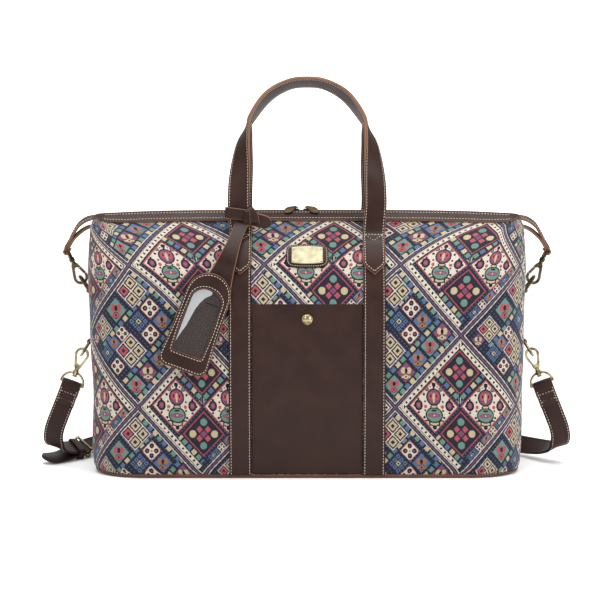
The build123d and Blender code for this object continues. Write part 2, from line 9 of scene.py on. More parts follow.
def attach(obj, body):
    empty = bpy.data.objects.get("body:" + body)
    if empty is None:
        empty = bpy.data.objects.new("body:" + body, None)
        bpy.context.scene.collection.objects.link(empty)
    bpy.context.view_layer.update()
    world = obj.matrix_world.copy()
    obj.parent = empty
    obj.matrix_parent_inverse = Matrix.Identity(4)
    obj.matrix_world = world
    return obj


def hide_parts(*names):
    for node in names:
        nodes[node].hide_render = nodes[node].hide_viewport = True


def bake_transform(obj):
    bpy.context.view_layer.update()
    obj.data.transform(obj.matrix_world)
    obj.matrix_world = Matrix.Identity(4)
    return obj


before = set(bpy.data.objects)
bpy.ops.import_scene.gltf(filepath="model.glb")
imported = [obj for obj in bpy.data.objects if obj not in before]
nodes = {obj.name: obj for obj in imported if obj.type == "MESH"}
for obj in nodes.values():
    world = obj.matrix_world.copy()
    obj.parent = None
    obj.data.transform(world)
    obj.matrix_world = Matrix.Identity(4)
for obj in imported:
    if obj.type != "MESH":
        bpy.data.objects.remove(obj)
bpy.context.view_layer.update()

# ---------------------------------------------------------------------------------------------
# Camera, floor and lights. The bag stands on a seamless pale sheet in even studio light, seen
# almost level from the front with a long lens.
# ---------------------------------------------------------------------------------------------
camera_data = bpy.data.cameras.new("studio_camera")
camera_data.lens = 96.1
camera_data.sensor_width = 36.0
camera_data.clip_end = 30.0
camera = bpy.data.objects.new("studio_camera", camera_data)
camera.location = (-0.0059, -1.9, 0.33)
camera.rotation_euler = (math.radians(90 - 4.117), 0.0, 0.0)
bpy.context.scene.collection.objects.link(camera)
bpy.context.scene.camera = camera


def linear(r, g, b):
    """Linear colour from 8-bit display values."""
    out = []
    for v in (r, g, b):
        v /= 255.0
        out.append(v / 12.92 if v <= 0.04045 else ((v + 0.055) / 1.055) ** 2.4)
    return (*out, 1.0)


def plain_material(name, colour, roughness):
    """Principled material of one colour, to be worked up by its section."""
    mat = bpy.data.materials.new(name)
    mat.use_nodes = True
    shader = mat.node_tree.nodes["Principled BSDF"]
    shader.inputs["Base Color"].default_value = colour
    shader.inputs["Roughness"].default_value = roughness
    return mat, shader


def link_mesh(name, bm, materials, smooth=True):
    """Object at the origin from a finished bmesh."""
    mesh = bpy.data.meshes.new(name)
    bm.to_mesh(mesh)
    bm.free()
    for mat in materials:
        mesh.materials.append(mat)
    if smooth:
        mesh.shade_smooth()
    piece = bpy.data.objects.new(name, mesh)
    bpy.context.scene.collection.objects.link(piece)
    return piece


floor_mat, floor_shader = plain_material("pale_paper", (0.97, 0.97, 0.97, 1.0), 0.95)
floor_shader.inputs["Specular IOR Level"].default_value = 0.1
bm = bmesh.new()
bmesh.ops.create_grid(bm, x_segments=1, y_segments=1, size=14.0)
floor = link_mesh("floor", bm, [floor_mat], smooth=False)

backdrop_mat, backdrop_shader = plain_material("lit_backdrop", (1.0, 1.0, 1.0, 1.0), 1.0)
backdrop_shader.inputs["Emission Color"].default_value = (1.0, 1.0, 1.0, 1.0)
backdrop_shader.inputs["Emission Strength"].default_value = 0.9
bm = bmesh.new()
wall_corners = [(-6, 5, -1), (6, 5, -1), (6, 5, 6), (-6, 5, 6)]
bm.faces.new([bm.verts.new(p) for p in wall_corners])
backdrop = link_mesh("backdrop", bm, [backdrop_mat], smooth=False)
backdrop.visible_glossy = False

world = bpy.data.worlds.new("studio")
world.use_nodes = True
world.node_tree.nodes["Background"].inputs["Color"].default_value = (1.0, 1.0, 1.0, 1.0)
world.node_tree.nodes["Background"].inputs["Strength"].default_value = 0.55
bpy.context.scene.world = world
bpy.context.scene.view_settings.view_transform = "Standard"


def area_light(name, place, target, size, power):
    """Large soft box aimed at a point."""
    data = bpy.data.lights.new(name, "AREA")
    data.shape = "RECTANGLE"
    data.size, data.size_y = size
    data.energy = power
    lamp = bpy.data.objects.new(name, data)
    lamp.location = place
    lamp.rotation_euler = (Vector(target) - Vector(place)).to_track_quat("-Z", "Y").to_euler()
    bpy.context.scene.collection.objects.link(lamp)


area_light("overhead_box", (0, -0.2, 2.3), (0, 0, 0), (2.6, 1.6), 62)
area_light("key_box", (-1.3, -2.0, 1.5), (0, 0, 0.2), (0.8, 1.2), 9)
area_light("fill_box", (1.7, -1.5, 1.0), (0, 0, 0.2), (0.8, 1.2), 19)
area_light("back_box", (0.2, 2.4, 1.6), (0, 0, 0.2), (1.6, 1.0), 6)

# ---------------------------------------------------------------------------------------------
# Cloth body: two tapestry panels sewn at the sides, bulging over their stuffing and rolling in
# at the shoulders to the zip. Both are cut from one cloth woven in a repeat of tilted blocks.
# ---------------------------------------------------------------------------------------------
BODY_TOP = 0.300
TRIM_LOW = (0.045, 0.2847)
MOUTH_HALF = 0.025
SHOULDER_START = 0.190
SHOULDER_RADIUS = 0.110
SHOULDER_DEPTH = 0.099
BASE_DEPTH = 0.092
BULGE = (0.13573, 0.5205)
HALF_BASE, HALF_MID, HALF_TOP = 0.248, 0.2505, 0.254
CORNER_RADIUS = 0.062


def side_profile():
    """Points (length, depth, height) up the bag's side from the base to the zip."""
    rows = [(BASE_DEPTH + BULGE[0] * z - BULGE[1] * z * z, z) for z in np.linspace(0.0, SHOULDER_START, 40)]
    end = math.acos((TRIM_LOW[0] - SHOULDER_DEPTH + SHOULDER_RADIUS) / SHOULDER_RADIUS)
    for turn in np.linspace(0.0, end, 32)[1:]:
        depth = SHOULDER_DEPTH - SHOULDER_RADIUS * (1 - math.cos(turn))
        rows.append((depth, SHOULDER_START + SHOULDER_RADIUS * math.sin(turn)))
    in_step = (MOUTH_HALF - TRIM_LOW[0]) / 6
    up_step = (BODY_TOP - TRIM_LOW[1]) / 6
    for k in range(1, 7):
        rows.append((TRIM_LOW[0] + in_step * k, TRIM_LOW[1] + up_step * k))
    rows = np.array(rows)
    steps = np.hypot(np.diff(rows[:, 0]), np.diff(rows[:, 1]))
    return np.concatenate([[0.0], np.cumsum(steps)]), rows[:, 0], rows[:, 1]


UP_LENGTH, UP_DEPTH, UP_HEIGHT = side_profile()
UP_END = float(UP_LENGTH[-1])


def up_side(t):
    """Depth, height and outward direction at a length up the side."""
    step = 0.004
    depth, height = np.interp(t, UP_LENGTH, UP_DEPTH), np.interp(t, UP_LENGTH, UP_HEIGHT)
    d0, h0 = np.interp(t - step, UP_LENGTH, UP_DEPTH), np.interp(t - step, UP_LENGTH, UP_HEIGHT)
    d1, h1 = np.interp(t + step, UP_LENGTH, UP_DEPTH), np.interp(t + step, UP_LENGTH, UP_HEIGHT)
    run = math.hypot(d1 - d0, h1 - h0)
    return float(depth), float(height), float(h1 - h0) / run, float(d0 - d1) / run


def settle(x, z):
    """The soft top sinks a little towards its two ends."""
    sink = (abs(x) / HALF_TOP) ** 4 * 0.005
    return z - sink * min(1.0, max(0.0, (z - 0.2) / 0.09))


def on_front(x, t, lift=0.0):
    """Point on the flat of the front at x and a length up, raised off the cloth by lift."""
    depth, height, out_y, out_z = up_side(t)
    return Vector((x, -(depth + out_y * lift), settle(x, height + out_z * lift)))


def height_to_length(z):
    """Length up the side at a height."""
    return float(np.interp(z, UP_HEIGHT, UP_LENGTH))


def half_width(z):
    """Half of the body's width at a height, with its top corners rounded off."""
    wide = np.interp(z, [0.0, 0.15, 0.3], [HALF_BASE, HALF_MID, HALF_TOP])
    low = max(0.0, 0.012 - z)
    wide -= 0.012 - math.sqrt(max(0.0, 0.012**2 - low**2))
    high = max(0.0, z - (BODY_TOP - 0.014))
    wide -= 0.012 - 0.012 * math.sqrt(max(0.0, 1 - (high / 0.014) ** 2 * 0.98))
    return float(wide)


FLAT_HALF = 0.1895
CORNER_RUN = 0.094
SIDE_RUN = 0.037


def round_body(s, t, lift=0.0):
    """Point on the body at a length s along it from the front's middle to the side seam."""
    depth, height, out_y, out_z = up_side(t)
    wide = half_width(height)
    radius = min(CORNER_RADIUS, depth * 0.62)
    flat = wide - radius
    a = abs(s)
    if a <= FLAT_HALF:
        x, y, nx, ny = flat * a / FLAT_HALF, depth, 0.0, out_y
    elif a <= FLAT_HALF + CORNER_RUN:
        turn = (a - FLAT_HALF) / CORNER_RUN * math.pi / 2
        x, y = flat + radius * math.sin(turn), depth - radius * (1 - math.cos(turn))
        nx, ny = math.sin(turn), math.cos(turn) * out_y
    else:
        x, y = wide, (depth - radius) * max(0.0, 1 - (a - FLAT_HALF - CORNER_RUN) / SIDE_RUN)
        nx, ny = 1.0, 0.0
    x += nx * lift
    side = 1.0 if s >= 0 else -1.0
    return Vector((side * x, -(y + ny * lift), settle(x, height + out_z * lift * (1 - nx))))


def ripple(p):
    """Slight unevenness of stuffed cloth."""
    low = math.sin(p.x * 21 + 0.7) * math.sin(p.z * 26 + 1.9) + 0.6 * math.sin(p.x * 47 + p.z * 39)
    near_side = max(0.0, (abs(p.x) - 0.2) / 0.05)
    pull = math.sin(p.z * 62 + p.y * 20) * min(1.0, near_side) * 0.8
    free = min(1.0, max(0.0, (abs(p.x) - 0.088) / 0.03))
    return (low + pull) * 0.0007 * free


def sheet_mesh(name, place, columns, rows, materials, back=False, uv=None):
    """Grid whose vertices go to place(u, v) for u, v from 0 to 1, facing out of the bag."""
    bm = bmesh.new()
    bmesh.ops.create_grid(bm, x_segments=columns, y_segments=rows, size=0.5)
    laid = {v: (v.co.x + 0.5, v.co.y + 0.5) for v in bm.verts}
    if uv:
        layer = bm.loops.layers.uv.new("weave")
        for face in bm.faces:
            for loop in face.loops:
                loop[layer].uv = uv(*laid[loop.vert])
    for v, (i, j) in laid.items():
        v.co = place(i, j)
    if back:
        bmesh.ops.scale(bm, vec=(-1, -1, 1), verts=bm.verts)
    centre = min(bm.faces, key=lambda f: sum((a - 0.5) ** 2 for v in f.verts for a in laid[v]))
    middle = centre.calc_center_median()
    if centre.normal.length < 0.5:
        centre.normal_update()
    if centre.normal.dot(middle - Vector((middle.x * 0.7, 0, 0.12))) < 0:
        bmesh.ops.reverse_faces(bm, faces=bm.faces)
    return link_mesh(name, bm, materials)


def thicken(piece, thick, outward=True, rubbed=False):
    """Thickness for a sheet: outward, its cut edge in the second material, or inward."""
    layer = piece.modifiers.new("thickness", "SOLIDIFY")
    layer.thickness = thick
    layer.offset = 1.0 if outward else -1.0
    layer.material_offset_rim = 1 if outward else 0
    if rubbed:
        softened = piece.modifiers.new("rubbed_edge", "BEVEL")
        softened.width = 0.0004
        softened.segments = 2
        softened.limit_method = "ANGLE"


WHOLE = FLAT_HALF + CORNER_RUN + SIDE_RUN


def cloth_place(lift):
    """Placing function for a panel wrapped round half of the body."""

    def place(i, j):
        s, t = (i * 2 - 1) * WHOLE, j * (UP_END - 0.001) + 0.0005
        p = round_body(s, t, lift)
        edge = min(1.0, max(0.0, (WHOLE - abs(s)) / 0.02)) * min(1.0, t / 0.02)
        return p + (round_body(s, t, lift + 0.001) - p) * ripple(p) * 1000 * edge

    return place


class Draft:
    """Small writer for arithmetic nodes in one node tree."""

    def __init__(self, tree):
        self.tree = tree

    def put(self, kind, *values, **settings):
        """New node, its inputs filled in order and its settings set."""
        made = self.tree.nodes.new(kind)
        for key, value in settings.items():
            setattr(made, key, value)
        for i, value in enumerate(values):
            if isinstance(value, bpy.types.NodeSocket):
                self.tree.links.new(value, made.inputs[i])
            elif value is not None:
                made.inputs[i].default_value = value
        return made

    def calc(self, operation, *values):
        """One step of arithmetic."""
        return self.put("ShaderNodeMath", *values, operation=operation).outputs[0]

    def vector(self, operation, *values):
        """One step of vector arithmetic."""
        made = self.put("ShaderNodeVectorMath", *values, operation=operation)
        return made.outputs["Value" if operation in ("DISTANCE", "LENGTH", "DOT_PRODUCT") else "Vector"]

    def join(self, x, y, z=0.0):
        """Vector from its parts."""
        return self.put("ShaderNodeCombineXYZ", x, y, z).outputs[0]

    def split(self, vec):
        """Parts of a vector."""
        made = self.put("ShaderNodeSeparateXYZ", vec)
        return made.outputs[0], made.outputs[1], made.outputs[2]

    def both(self, *masks):
        """Mask that is 1 where every mask is."""
        out = masks[0]
        for other in masks[1:]:
            out = self.calc("MULTIPLY", out, other)
        return out

    def paint(self, under, colour, mask):
        """Colour laid over what is under it where the mask is 1."""
        made = self.tree.nodes.new("ShaderNodeMix")
        made.data_type = "RGBA"
        self.tree.links.new(mask, made.inputs[0])
        for value, socket in ((under, made.inputs[6]), (colour, made.inputs[7])):
            if isinstance(value, bpy.types.NodeSocket):
                self.tree.links.new(value, socket)
            else:
                socket.default_value = value
        return made.outputs[2]

    def object_place(self):
        """Place on the object, in metres."""
        return self.tree.nodes.new("ShaderNodeTexCoord").outputs["Object"]

    def inside(self, value, limit):
        """Mask that is 1 while the value is below a limit."""
        return self.calc("LESS_THAN", value, limit)

    def spot(self, place, centre, radius):
        """Mask of a round spot."""
        return self.inside(self.vector("DISTANCE", place, (*centre, 0.0)), radius)


NAVY = linear(28, 30, 44)
INK = linear(22, 22, 31)
CREAM = linear(203, 193, 177)
CORAL = linear(168, 77, 86)
RED = linear(158, 69, 77)
TEAL = linear(97, 132, 122)
SLATE = linear(79, 102, 137)
SAND = linear(184, 168, 134)
MAUVE = linear(117, 68, 98)
PURPLE = linear(93, 79, 113)
BORDER = linear(92, 70, 100)
SPECK = linear(58, 74, 104)
ORANGE = linear(156, 105, 69)

REPEAT = (0.146, 0.162)
BLOCK_PLACE = (0.027, 0.082)
THREAD = 0.00055
TWILL = 0.0019
FIGURE_SCALE = 1.13
# kind, block, centre, half size, all in the block's own tilted units
MEDALLION, FLOWER, NESTED, ROSETTE, GRID, SPRIG, BLOOM, BUD = range(1, 9)
MOTIFS = [
    (MEDALLION, 0, (-0.207, -0.190), (0.200, 0.186)),
    (MEDALLION, 0, (0.198, 0.202), (0.196, 0.186)),
    (FLOWER, 0, (-0.252, 0.240), (0.158, 0.150)),
    (FLOWER, 0, (0.200, -0.178), (0.164, 0.160)),
    (ROSETTE, 0, (0.4325, -0.130), (0.036, 0.040)),
    (GRID, 0, (0.4325, -0.245), (0.036, 0.066)),
    (SPRIG, 0, (0.4325, -0.020), (0.036, 0.060)),
    (ROSETTE, 0, (0.4325, 0.090), (0.036, 0.040)),
    (GRID, 0, (0.4325, 0.205), (0.036, 0.066)),
    (BLOOM, 0, (0.4325, 0.330), (0.036, 0.050)),
    (NESTED, 1, (-0.330, 0.290), (0.128, 0.128)),
    (NESTED, 1, (0.060, -0.150), (0.128, 0.128)),
    (NESTED, 1, (-0.330, -0.240), (0.100, 0.100)),
    (GRID, 1, (-0.080, 0.118), (0.078, 0.078)),
    (ROSETTE, 1, (-0.080, 0.300), (0.078, 0.078)),
    (ROSETTE, 1, (0.098, 0.118), (0.078, 0.078)),
    (SPRIG, 1, (0.098, 0.300), (0.078, 0.078)),
    (BLOOM, 1, (-0.330, 0.020), (0.092, 0.092)),
    (GRID, 1, (-0.120, -0.370), (0.066, 0.066)),
    (ROSETTE, 1, (0.060, -0.372), (0.066, 0.066)),
    (SPRIG, 1, (-0.125, -0.235), (0.058, 0.058)),
    (ROSETTE, 1, (-0.125, -0.098), (0.058, 0.058)),
    (BUD, 1, (-0.335, -0.400), (0.052, 0.052)),
    (BUD, 1, (0.335, 0.372), (0.078, 0.078)),
    (BLOOM, 1, (0.335, 0.190), (0.078, 0.078)),
    (SPRIG, 1, (0.335, 0.008), (0.078, 0.078)),
    (BUD, 1, (0.335, -0.174), (0.078, 0.078)),
    (BLOOM, 1, (0.335, -0.356), (0.078, 0.078)),
]
# block, runs along p, place across, half width, start, end
CHAINS = [
    (0, True, 0.052, 0.026, -0.42, 0.0),
    (0, False, -0.050, 0.026, 0.02, 0.40),
    (0, True, -0.380, 0.026, 0.03, 0.40),
    (1, False, 0.222, 0.024, -0.46, 0.46),
    (1, False, 0.446, 0.024, -0.46, 0.46),
    (1, False, -0.200, 0.024, -0.36, 0.44),
    (1, True, 0.448, 0.024, -0.46, 0.20),
]
BANDS = [
    (0, False, -0.448, 0.028, -0.46, 0.46),
    (0, True, -0.440, 0.028, -0.46, 0.42),
    (0, True, 0.432, 0.028, -0.46, 0.46),
]


def weave_group():
    """Node group that draws the cloth's repeat; Place is (along, up) in metres."""
    group = bpy.data.node_groups.new("tapestry_repeat", "ShaderNodeTree")
    group.interface.new_socket("Place", in_out="INPUT", socket_type="NodeSocketVector")
    group.interface.new_socket("Colour", in_out="OUTPUT", socket_type="NodeSocketColor")
    group.interface.new_socket("Thread", in_out="OUTPUT", socket_type="NodeSocketFloat")
    d = Draft(group)
    along, up, _ = d.split(group.nodes.new("NodeGroupInput").outputs["Place"])

    def threads(value):
        return d.calc("MULTIPLY", d.calc("ROUND", d.calc("DIVIDE", value, THREAD)), THREAD)

    dx = d.calc("DIVIDE", d.calc("SUBTRACT", threads(along), BLOCK_PLACE[0]), REPEAT[0])
    dy = d.calc("DIVIDE", d.calc("SUBTRACT", BLOCK_PLACE[1], threads(up)), REPEAT[1])
    local = []
    cells = []
    for value in (d.calc("ADD", dx, dy), d.calc("SUBTRACT", dx, dy)):
        shifted = d.calc("ADD", value, 0.5)
        cells.append(d.calc("FLOOR", shifted))
        local.append(d.calc("SUBTRACT", d.calc("FRACT", shifted), 0.5))
    p, q = local
    block = d.calc("FLOORED_MODULO", d.calc("ADD", *cells), 2.0)
    here = d.join(p, q, block)

    def gathered(rows):
        """Sum of the one row whose box holds the point, as (m, n, kind)."""
        total = None
        for kind, which, centre, half in rows:
            scale = (1 / half[0], 1 / half[1], 3.0)
            back = (-centre[0] / half[0], -centre[1] / half[1], -which * 3.0)
            unit = d.vector("MULTIPLY_ADD", here, scale, back)
            m, n, w = d.split(d.vector("ABSOLUTE", unit))
            mask = d.inside(d.calc("MAXIMUM", d.calc("MAXIMUM", m, n), w), 1.0)
            marked = d.vector("ADD", unit, (0.0, 0.0, float(kind)))
            made = d.put("ShaderNodeVectorMath", marked, operation="SCALE")
            group.links.new(mask, made.inputs["Scale"])
            total = made.outputs[0] if total is None else d.vector("ADD", total, made.outputs[0])
        return total

    def gathered_runs(rows):
        """(length along, place across from -1 to 1, 1 inside) over all chains or bands."""
        total = None
        for which, along_p, across, half, start, end in rows:
            run, side = (p, q) if along_p else (q, p)
            place = d.join(
                run,
                d.calc("DIVIDE", d.calc("SUBTRACT", side, across), half),
                1.0,
            )
            mask = d.both(
                d.calc("COMPARE", block, float(which), 0.3),
                d.inside(d.calc("ABSOLUTE", d.calc("SUBTRACT", side, across)), half),
                d.calc("GREATER_THAN", run, start),
                d.inside(run, end),
            )
            made = d.put("ShaderNodeVectorMath", place, operation="SCALE")
            group.links.new(mask, made.inputs["Scale"])
            total = made.outputs[0] if total is None else d.vector("ADD", total, made.outputs[0])
        return d.split(total)

    # ground with frame lines round each block
    edge = d.calc("MAXIMUM", d.calc("ABSOLUTE", p), d.calc("ABSOLUTE", q))
    colour = d.paint(NAVY, CREAM, d.calc("COMPARE", edge, 0.4755, 0.0045))
    colour = d.paint(colour, BORDER, d.calc("GREATER_THAN", edge, 0.492))
    fine = d.calc("FRACT", d.calc("MULTIPLY", p, 27.0))
    fine_q = d.calc("FRACT", d.calc("MULTIPLY", q, 27.0))
    speck = d.both(d.inside(fine, 0.42), d.inside(fine_q, 0.42), d.inside(edge, 0.46))
    colour = d.paint(colour, SPECK, speck)

    # chains of small squares
    length, across, on = gathered_runs(CHAINS)
    step = d.calc("MULTIPLY", length, 1 / 0.0735)
    tile = d.calc("FLOORED_MODULO", d.calc("FLOOR", step), 3.0)
    place = d.calc("ABSOLUTE", d.calc("SUBTRACT", d.calc("FRACT", step), 0.5))
    square = d.both(on, d.inside(place, 0.36), d.inside(d.calc("ABSOLUTE", across), 0.92))
    beads = d.paint(SAND, TEAL, d.calc("COMPARE", tile, 1.0, 0.4))
    beads = d.paint(beads, SLATE, d.calc("COMPARE", tile, 2.0, 0.4))
    colour = d.paint(d.paint(colour, INK, on), beads, square)

    # cream bands with a row of dark dots
    length, across, on = gathered_runs(BANDS)
    step = d.calc("FRACT", d.calc("MULTIPLY", length, 1 / 0.058))
    dot = d.both(
        on,
        d.inside(d.calc("ABSOLUTE", d.calc("SUBTRACT", step, 0.5)), 0.2),
        d.inside(d.calc("ABSOLUTE", across), 0.42),
    )
    band = d.both(on, d.inside(d.calc("ABSOLUTE", across), 0.86))
    colour = d.paint(d.paint(d.paint(colour, INK, on), CREAM, band), INK, dot)

    # motifs
    m, n, kind = d.split(gathered(MOTIFS))
    am, an = d.calc("ABSOLUTE", m), d.calc("ABSOLUTE", n)
    ring = d.calc("MAXIMUM", am, an)
    tall_x = d.calc("MULTIPLY", d.calc("ADD", m, n), 0.5)
    tall_y = d.calc("MULTIPLY", d.calc("SUBTRACT", n, m), 0.5)
    upright = d.join(d.calc("ABSOLUTE", tall_x), tall_y)
    quarter = d.join(d.calc("ABSOLUTE", tall_x), d.calc("ABSOLUTE", tall_y))

    def ellipse(centre, radii):
        scale = (1 / radii[0], 1 / radii[1], 0.0)
        back = (-centre[0] / radii[0], -centre[1] / radii[1], 0.0)
        return d.inside(d.vector("LENGTH", d.vector("MULTIPLY_ADD", upright, scale, back)), 1.0)

    medallion = CREAM
    for middle, radius in (
        ((0.0, 0.78), 0.085), ((0.0, 0.66), 0.045), ((0.27, 0.60), 0.055), ((0.40, 0.42), 0.05),
        ((0.78, 0.0), 0.05), ((0.62, 0.24), 0.045), ((0.36, 0.16), 0.04), ((0.14, 0.70), 0.03),
    ):
        medallion = d.paint(medallion, INK, d.spot(quarter, middle, radius))
    for middle, radii, shade in (
        ((0.55, 0.02), (0.150, 0.175), INK),
        ((0.55, 0.02), (0.085, 0.105), MAUVE),
        ((0.55, 0.02), (0.045, 0.05), CORAL),
        ((0.26, -0.56), (0.13, 0.12), INK),
        ((0.26, -0.56), (0.08, 0.07), SAND),
        ((0.0, -0.56), (0.20, 0.10), INK),
        ((0.0, -0.56), (0.155, 0.06), SAND),
        ((0.0, -0.29), (0.31, 0.26), INK),
        ((0.0, -0.29), (0.265, 0.215), TEAL),
        ((0.0, -0.30), (0.225, 0.075), MAUVE),
        ((0.11, -0.30), (0.04, 0.04), CORAL),
        ((0.0, -0.30), (0.035, 0.035), SAND),
        ((0.0, -0.14), (0.10, 0.035), INK),
        ((0.0, -0.02), (0.14, 0.065), INK),
        ((0.0, -0.02), (0.10, 0.035), SAND),
        ((0.0, 0.29), (0.27, 0.28), INK),
        ((0.0, 0.29), (0.225, 0.235), MAUVE),
        ((0.105, 0.33), (0.075, 0.13), CORAL),
        ((0.0, 0.27), (0.045, 0.16), SAND),
        ((0.105, 0.33), (0.025, 0.06), INK),
        ((0.25, 0.55), (0.075, 0.075), INK),
        ((0.25, 0.55), (0.045, 0.045), TEAL),
        ((0.30, -0.02), (0.06, 0.06), CORAL),
    ):
        middle, radii = [[FIGURE_SCALE * v for v in pair] for pair in (middle, radii)]
        medallion = d.paint(medallion, shade, ellipse(middle, radii))

    high, low = d.calc("MAXIMUM", am, an), d.calc("MINIMUM", am, an)
    petal = d.calc("MAXIMUM", d.calc("ABSOLUTE", d.calc("SUBTRACT", high, 0.40)), low)
    flower = d.paint(NAVY, CORAL, d.inside(petal, 0.155))
    flower = d.paint(flower, TEAL, d.spot(quarter, (0.0, 0.52), 0.165))
    flower = d.paint(flower, SAND, d.spot(quarter, (0.52, 0.0), 0.165))
    flower = d.paint(flower, MAUVE, d.inside(ring, 0.165))

    sub = d.calc(
        "MAXIMUM",
        d.calc("ABSOLUTE", d.calc("SUBTRACT", d.calc("MULTIPLY", am, 2.2), 1.0)),
        d.calc("ABSOLUTE", d.calc("SUBTRACT", d.calc("MULTIPLY", an, 2.2), 1.0)),
    )
    warm = d.both(d.inside(m, 0.0), d.inside(n, 0.0))
    shade = d.paint(SAND, CORAL, warm)
    nested = d.paint(CREAM, NAVY, d.inside(sub, 0.90))
    nested = d.paint(nested, shade, d.inside(sub, 0.66))
    nested = d.paint(nested, NAVY, d.inside(sub, 0.30))

    rosette = d.paint(CREAM, INK, d.spot(quarter, (0.0, 0.46), 0.235))
    rosette = d.paint(rosette, INK, d.spot(quarter, (0.46, 0.0), 0.235))
    rosette = d.paint(rosette, MAUVE, d.spot(quarter, (0.0, 0.44), 0.085))
    rosette = d.paint(rosette, CORAL, d.spot(quarter, (0.44, 0.0), 0.085))
    rosette = d.paint(rosette, INK, d.spot(quarter, (0.0, 0.84), 0.06))
    rosette = d.paint(rosette, INK, d.spot(quarter, (0.84, 0.0), 0.06))
    rosette = d.paint(rosette, INK, d.inside(ring, 0.09))

    thirds = []
    for value in (m, n):
        part = d.calc("FRACT", d.calc("MULTIPLY", d.calc("ADD", value, 1.0), 1.5))
        thirds.append(d.calc("ABSOLUTE", d.calc("SUBTRACT", part, 0.5)))
    cell = d.calc("MAXIMUM", *thirds)
    checks = d.paint(INK, SLATE, d.inside(cell, 0.40))
    checks = d.paint(checks, INK, d.inside(cell, 0.15))
    checks = d.paint(checks, SAND, d.inside(ring, 0.27))
    checks = d.paint(checks, INK, d.inside(ring, 0.13))

    sprigs = []
    for ground, petal, heart in ((SLATE, ORANGE, INK), (TEAL, CORAL, INK), (MAUVE, SAND, INK)):
        sprig = ground
        for middle, radii, shade in (
            ((0.0, -0.40), (0.30, 0.27), INK),
            ((0.0, -0.40), (0.25, 0.22), petal),
            ((0.27, 0.16), (0.24, 0.30), petal),
            ((0.0, 0.14), (0.15, 0.22), heart),
            ((0.0, -0.40), (0.09, 0.09), heart),
            ((0.33, -0.42), (0.11, 0.11), petal),
        ):
            sprig = d.paint(sprig, shade, ellipse(middle, radii))
        sprigs.append(sprig)

    looks = [medallion, flower, nested, rosette, checks, *sprigs]
    rims = [RED, RED, PURPLE, RED, INK, INK, INK, INK]
    motif = looks[0]
    rim = rims[0]
    for i in range(1, len(looks)):
        mine = d.calc("COMPARE", kind, float(i + 1), 0.3)
        motif = d.paint(motif, looks[i], mine)
        rim = d.paint(rim, rims[i], mine)
    motif = d.paint(motif, rim, d.calc("GREATER_THAN", ring, 0.93))
    colour = d.paint(colour, motif, d.calc("GREATER_THAN", kind, 0.5))

    # twill threads, slightly uneven in tone
    slant = d.calc("ADD", d.calc("MULTIPLY", along, 1 / TWILL), d.calc("MULTIPLY", up, 0.7 / TWILL))
    thread = d.calc("PINGPONG", slant, 0.5)
    noise = d.put("ShaderNodeTexNoise", d.join(along, up), None, 900.0)
    tone = d.put("ShaderNodeMapRange", noise.outputs["Fac"], 0.3, 0.7, 0.72, 1.16).outputs[0]
    weft = d.put("ShaderNodeMapRange", thread, 0.0, 0.5, 0.74, 1.06).outputs[0]
    made = d.put("ShaderNodeVectorMath", colour, operation="SCALE")
    group.links.new(d.calc("MULTIPLY", tone, weft), made.inputs["Scale"])
    out = group.nodes.new("NodeGroupOutput")
    group.links.new(made.outputs[0], out.inputs["Colour"])
    group.links.new(thread, out.inputs["Thread"])
    return group


def tapestry_material():
    """Jacquard cloth: matt cotton and wool threads with a little sheen."""
    mat, shader = plain_material("tapestry_cloth", NAVY, 0.86)
    shader.inputs["Specular IOR Level"].default_value = 0.25
    shader.inputs["Sheen Weight"].default_value = 0.12
    d = Draft(mat.node_tree)
    place = d.put("ShaderNodeUVMap", uv_map="weave").outputs[0]
    weave = mat.node_tree.nodes.new("ShaderNodeGroup")
    weave.node_tree = weave_group()
    mat.node_tree.links.new(place, weave.inputs[0])
    mat.node_tree.links.new(weave.outputs["Colour"], shader.inputs["Base Color"])
    bump = mat.node_tree.nodes.new("ShaderNodeBump")
    bump.inputs["Strength"].default_value = 0.5
    bump.inputs["Distance"].default_value = 0.0003
    mat.node_tree.links.new(weave.outputs["Thread"], bump.inputs["Height"])
    mat.node_tree.links.new(bump.outputs[0], shader.inputs["Normal"])
    return mat


tapestry = tapestry_material()
for name, back in (("front_panel", False), ("back_panel", True)):
    panel = sheet_mesh(
        name + "_cloth", cloth_place(0.0), 150, 96, [tapestry], back,
        uv=lambda i, j: ((i * 2 - 1) * WHOLE, j * (UP_END - 0.001) + 0.0005),
    )
    thicken(panel, 0.002, outward=False)
    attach(panel, "bag")
    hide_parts(name)

# ---------------------------------------------------------------------------------------------
# Lining and base: a thin cloth bag sewn inside, a stiff board under it, and a leather bottom
# panel edged with a folded leather piping that the bag stands on.
# ---------------------------------------------------------------------------------------------
lining_mat, _ = plain_material("lining_cloth", linear(62, 48, 42), 0.8)
d = Draft(lining_mat.node_tree)
tone = d.put("ShaderNodeTexNoise", d.object_place(), None, 700.0).outputs["Fac"]
lining_mat.node_tree.links.new(
    d.paint(linear(58, 44, 38), linear(72, 56, 48), tone),
    lining_mat.node_tree.nodes["Principled BSDF"].inputs["Base Color"],
)
for name, back in (("lining_front", False), ("lining_back", True)):
    lining = sheet_mesh(name, cloth_place(-0.0035), 60, 40, [lining_mat], back)
    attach(lining, "bag")
    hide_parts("lining")


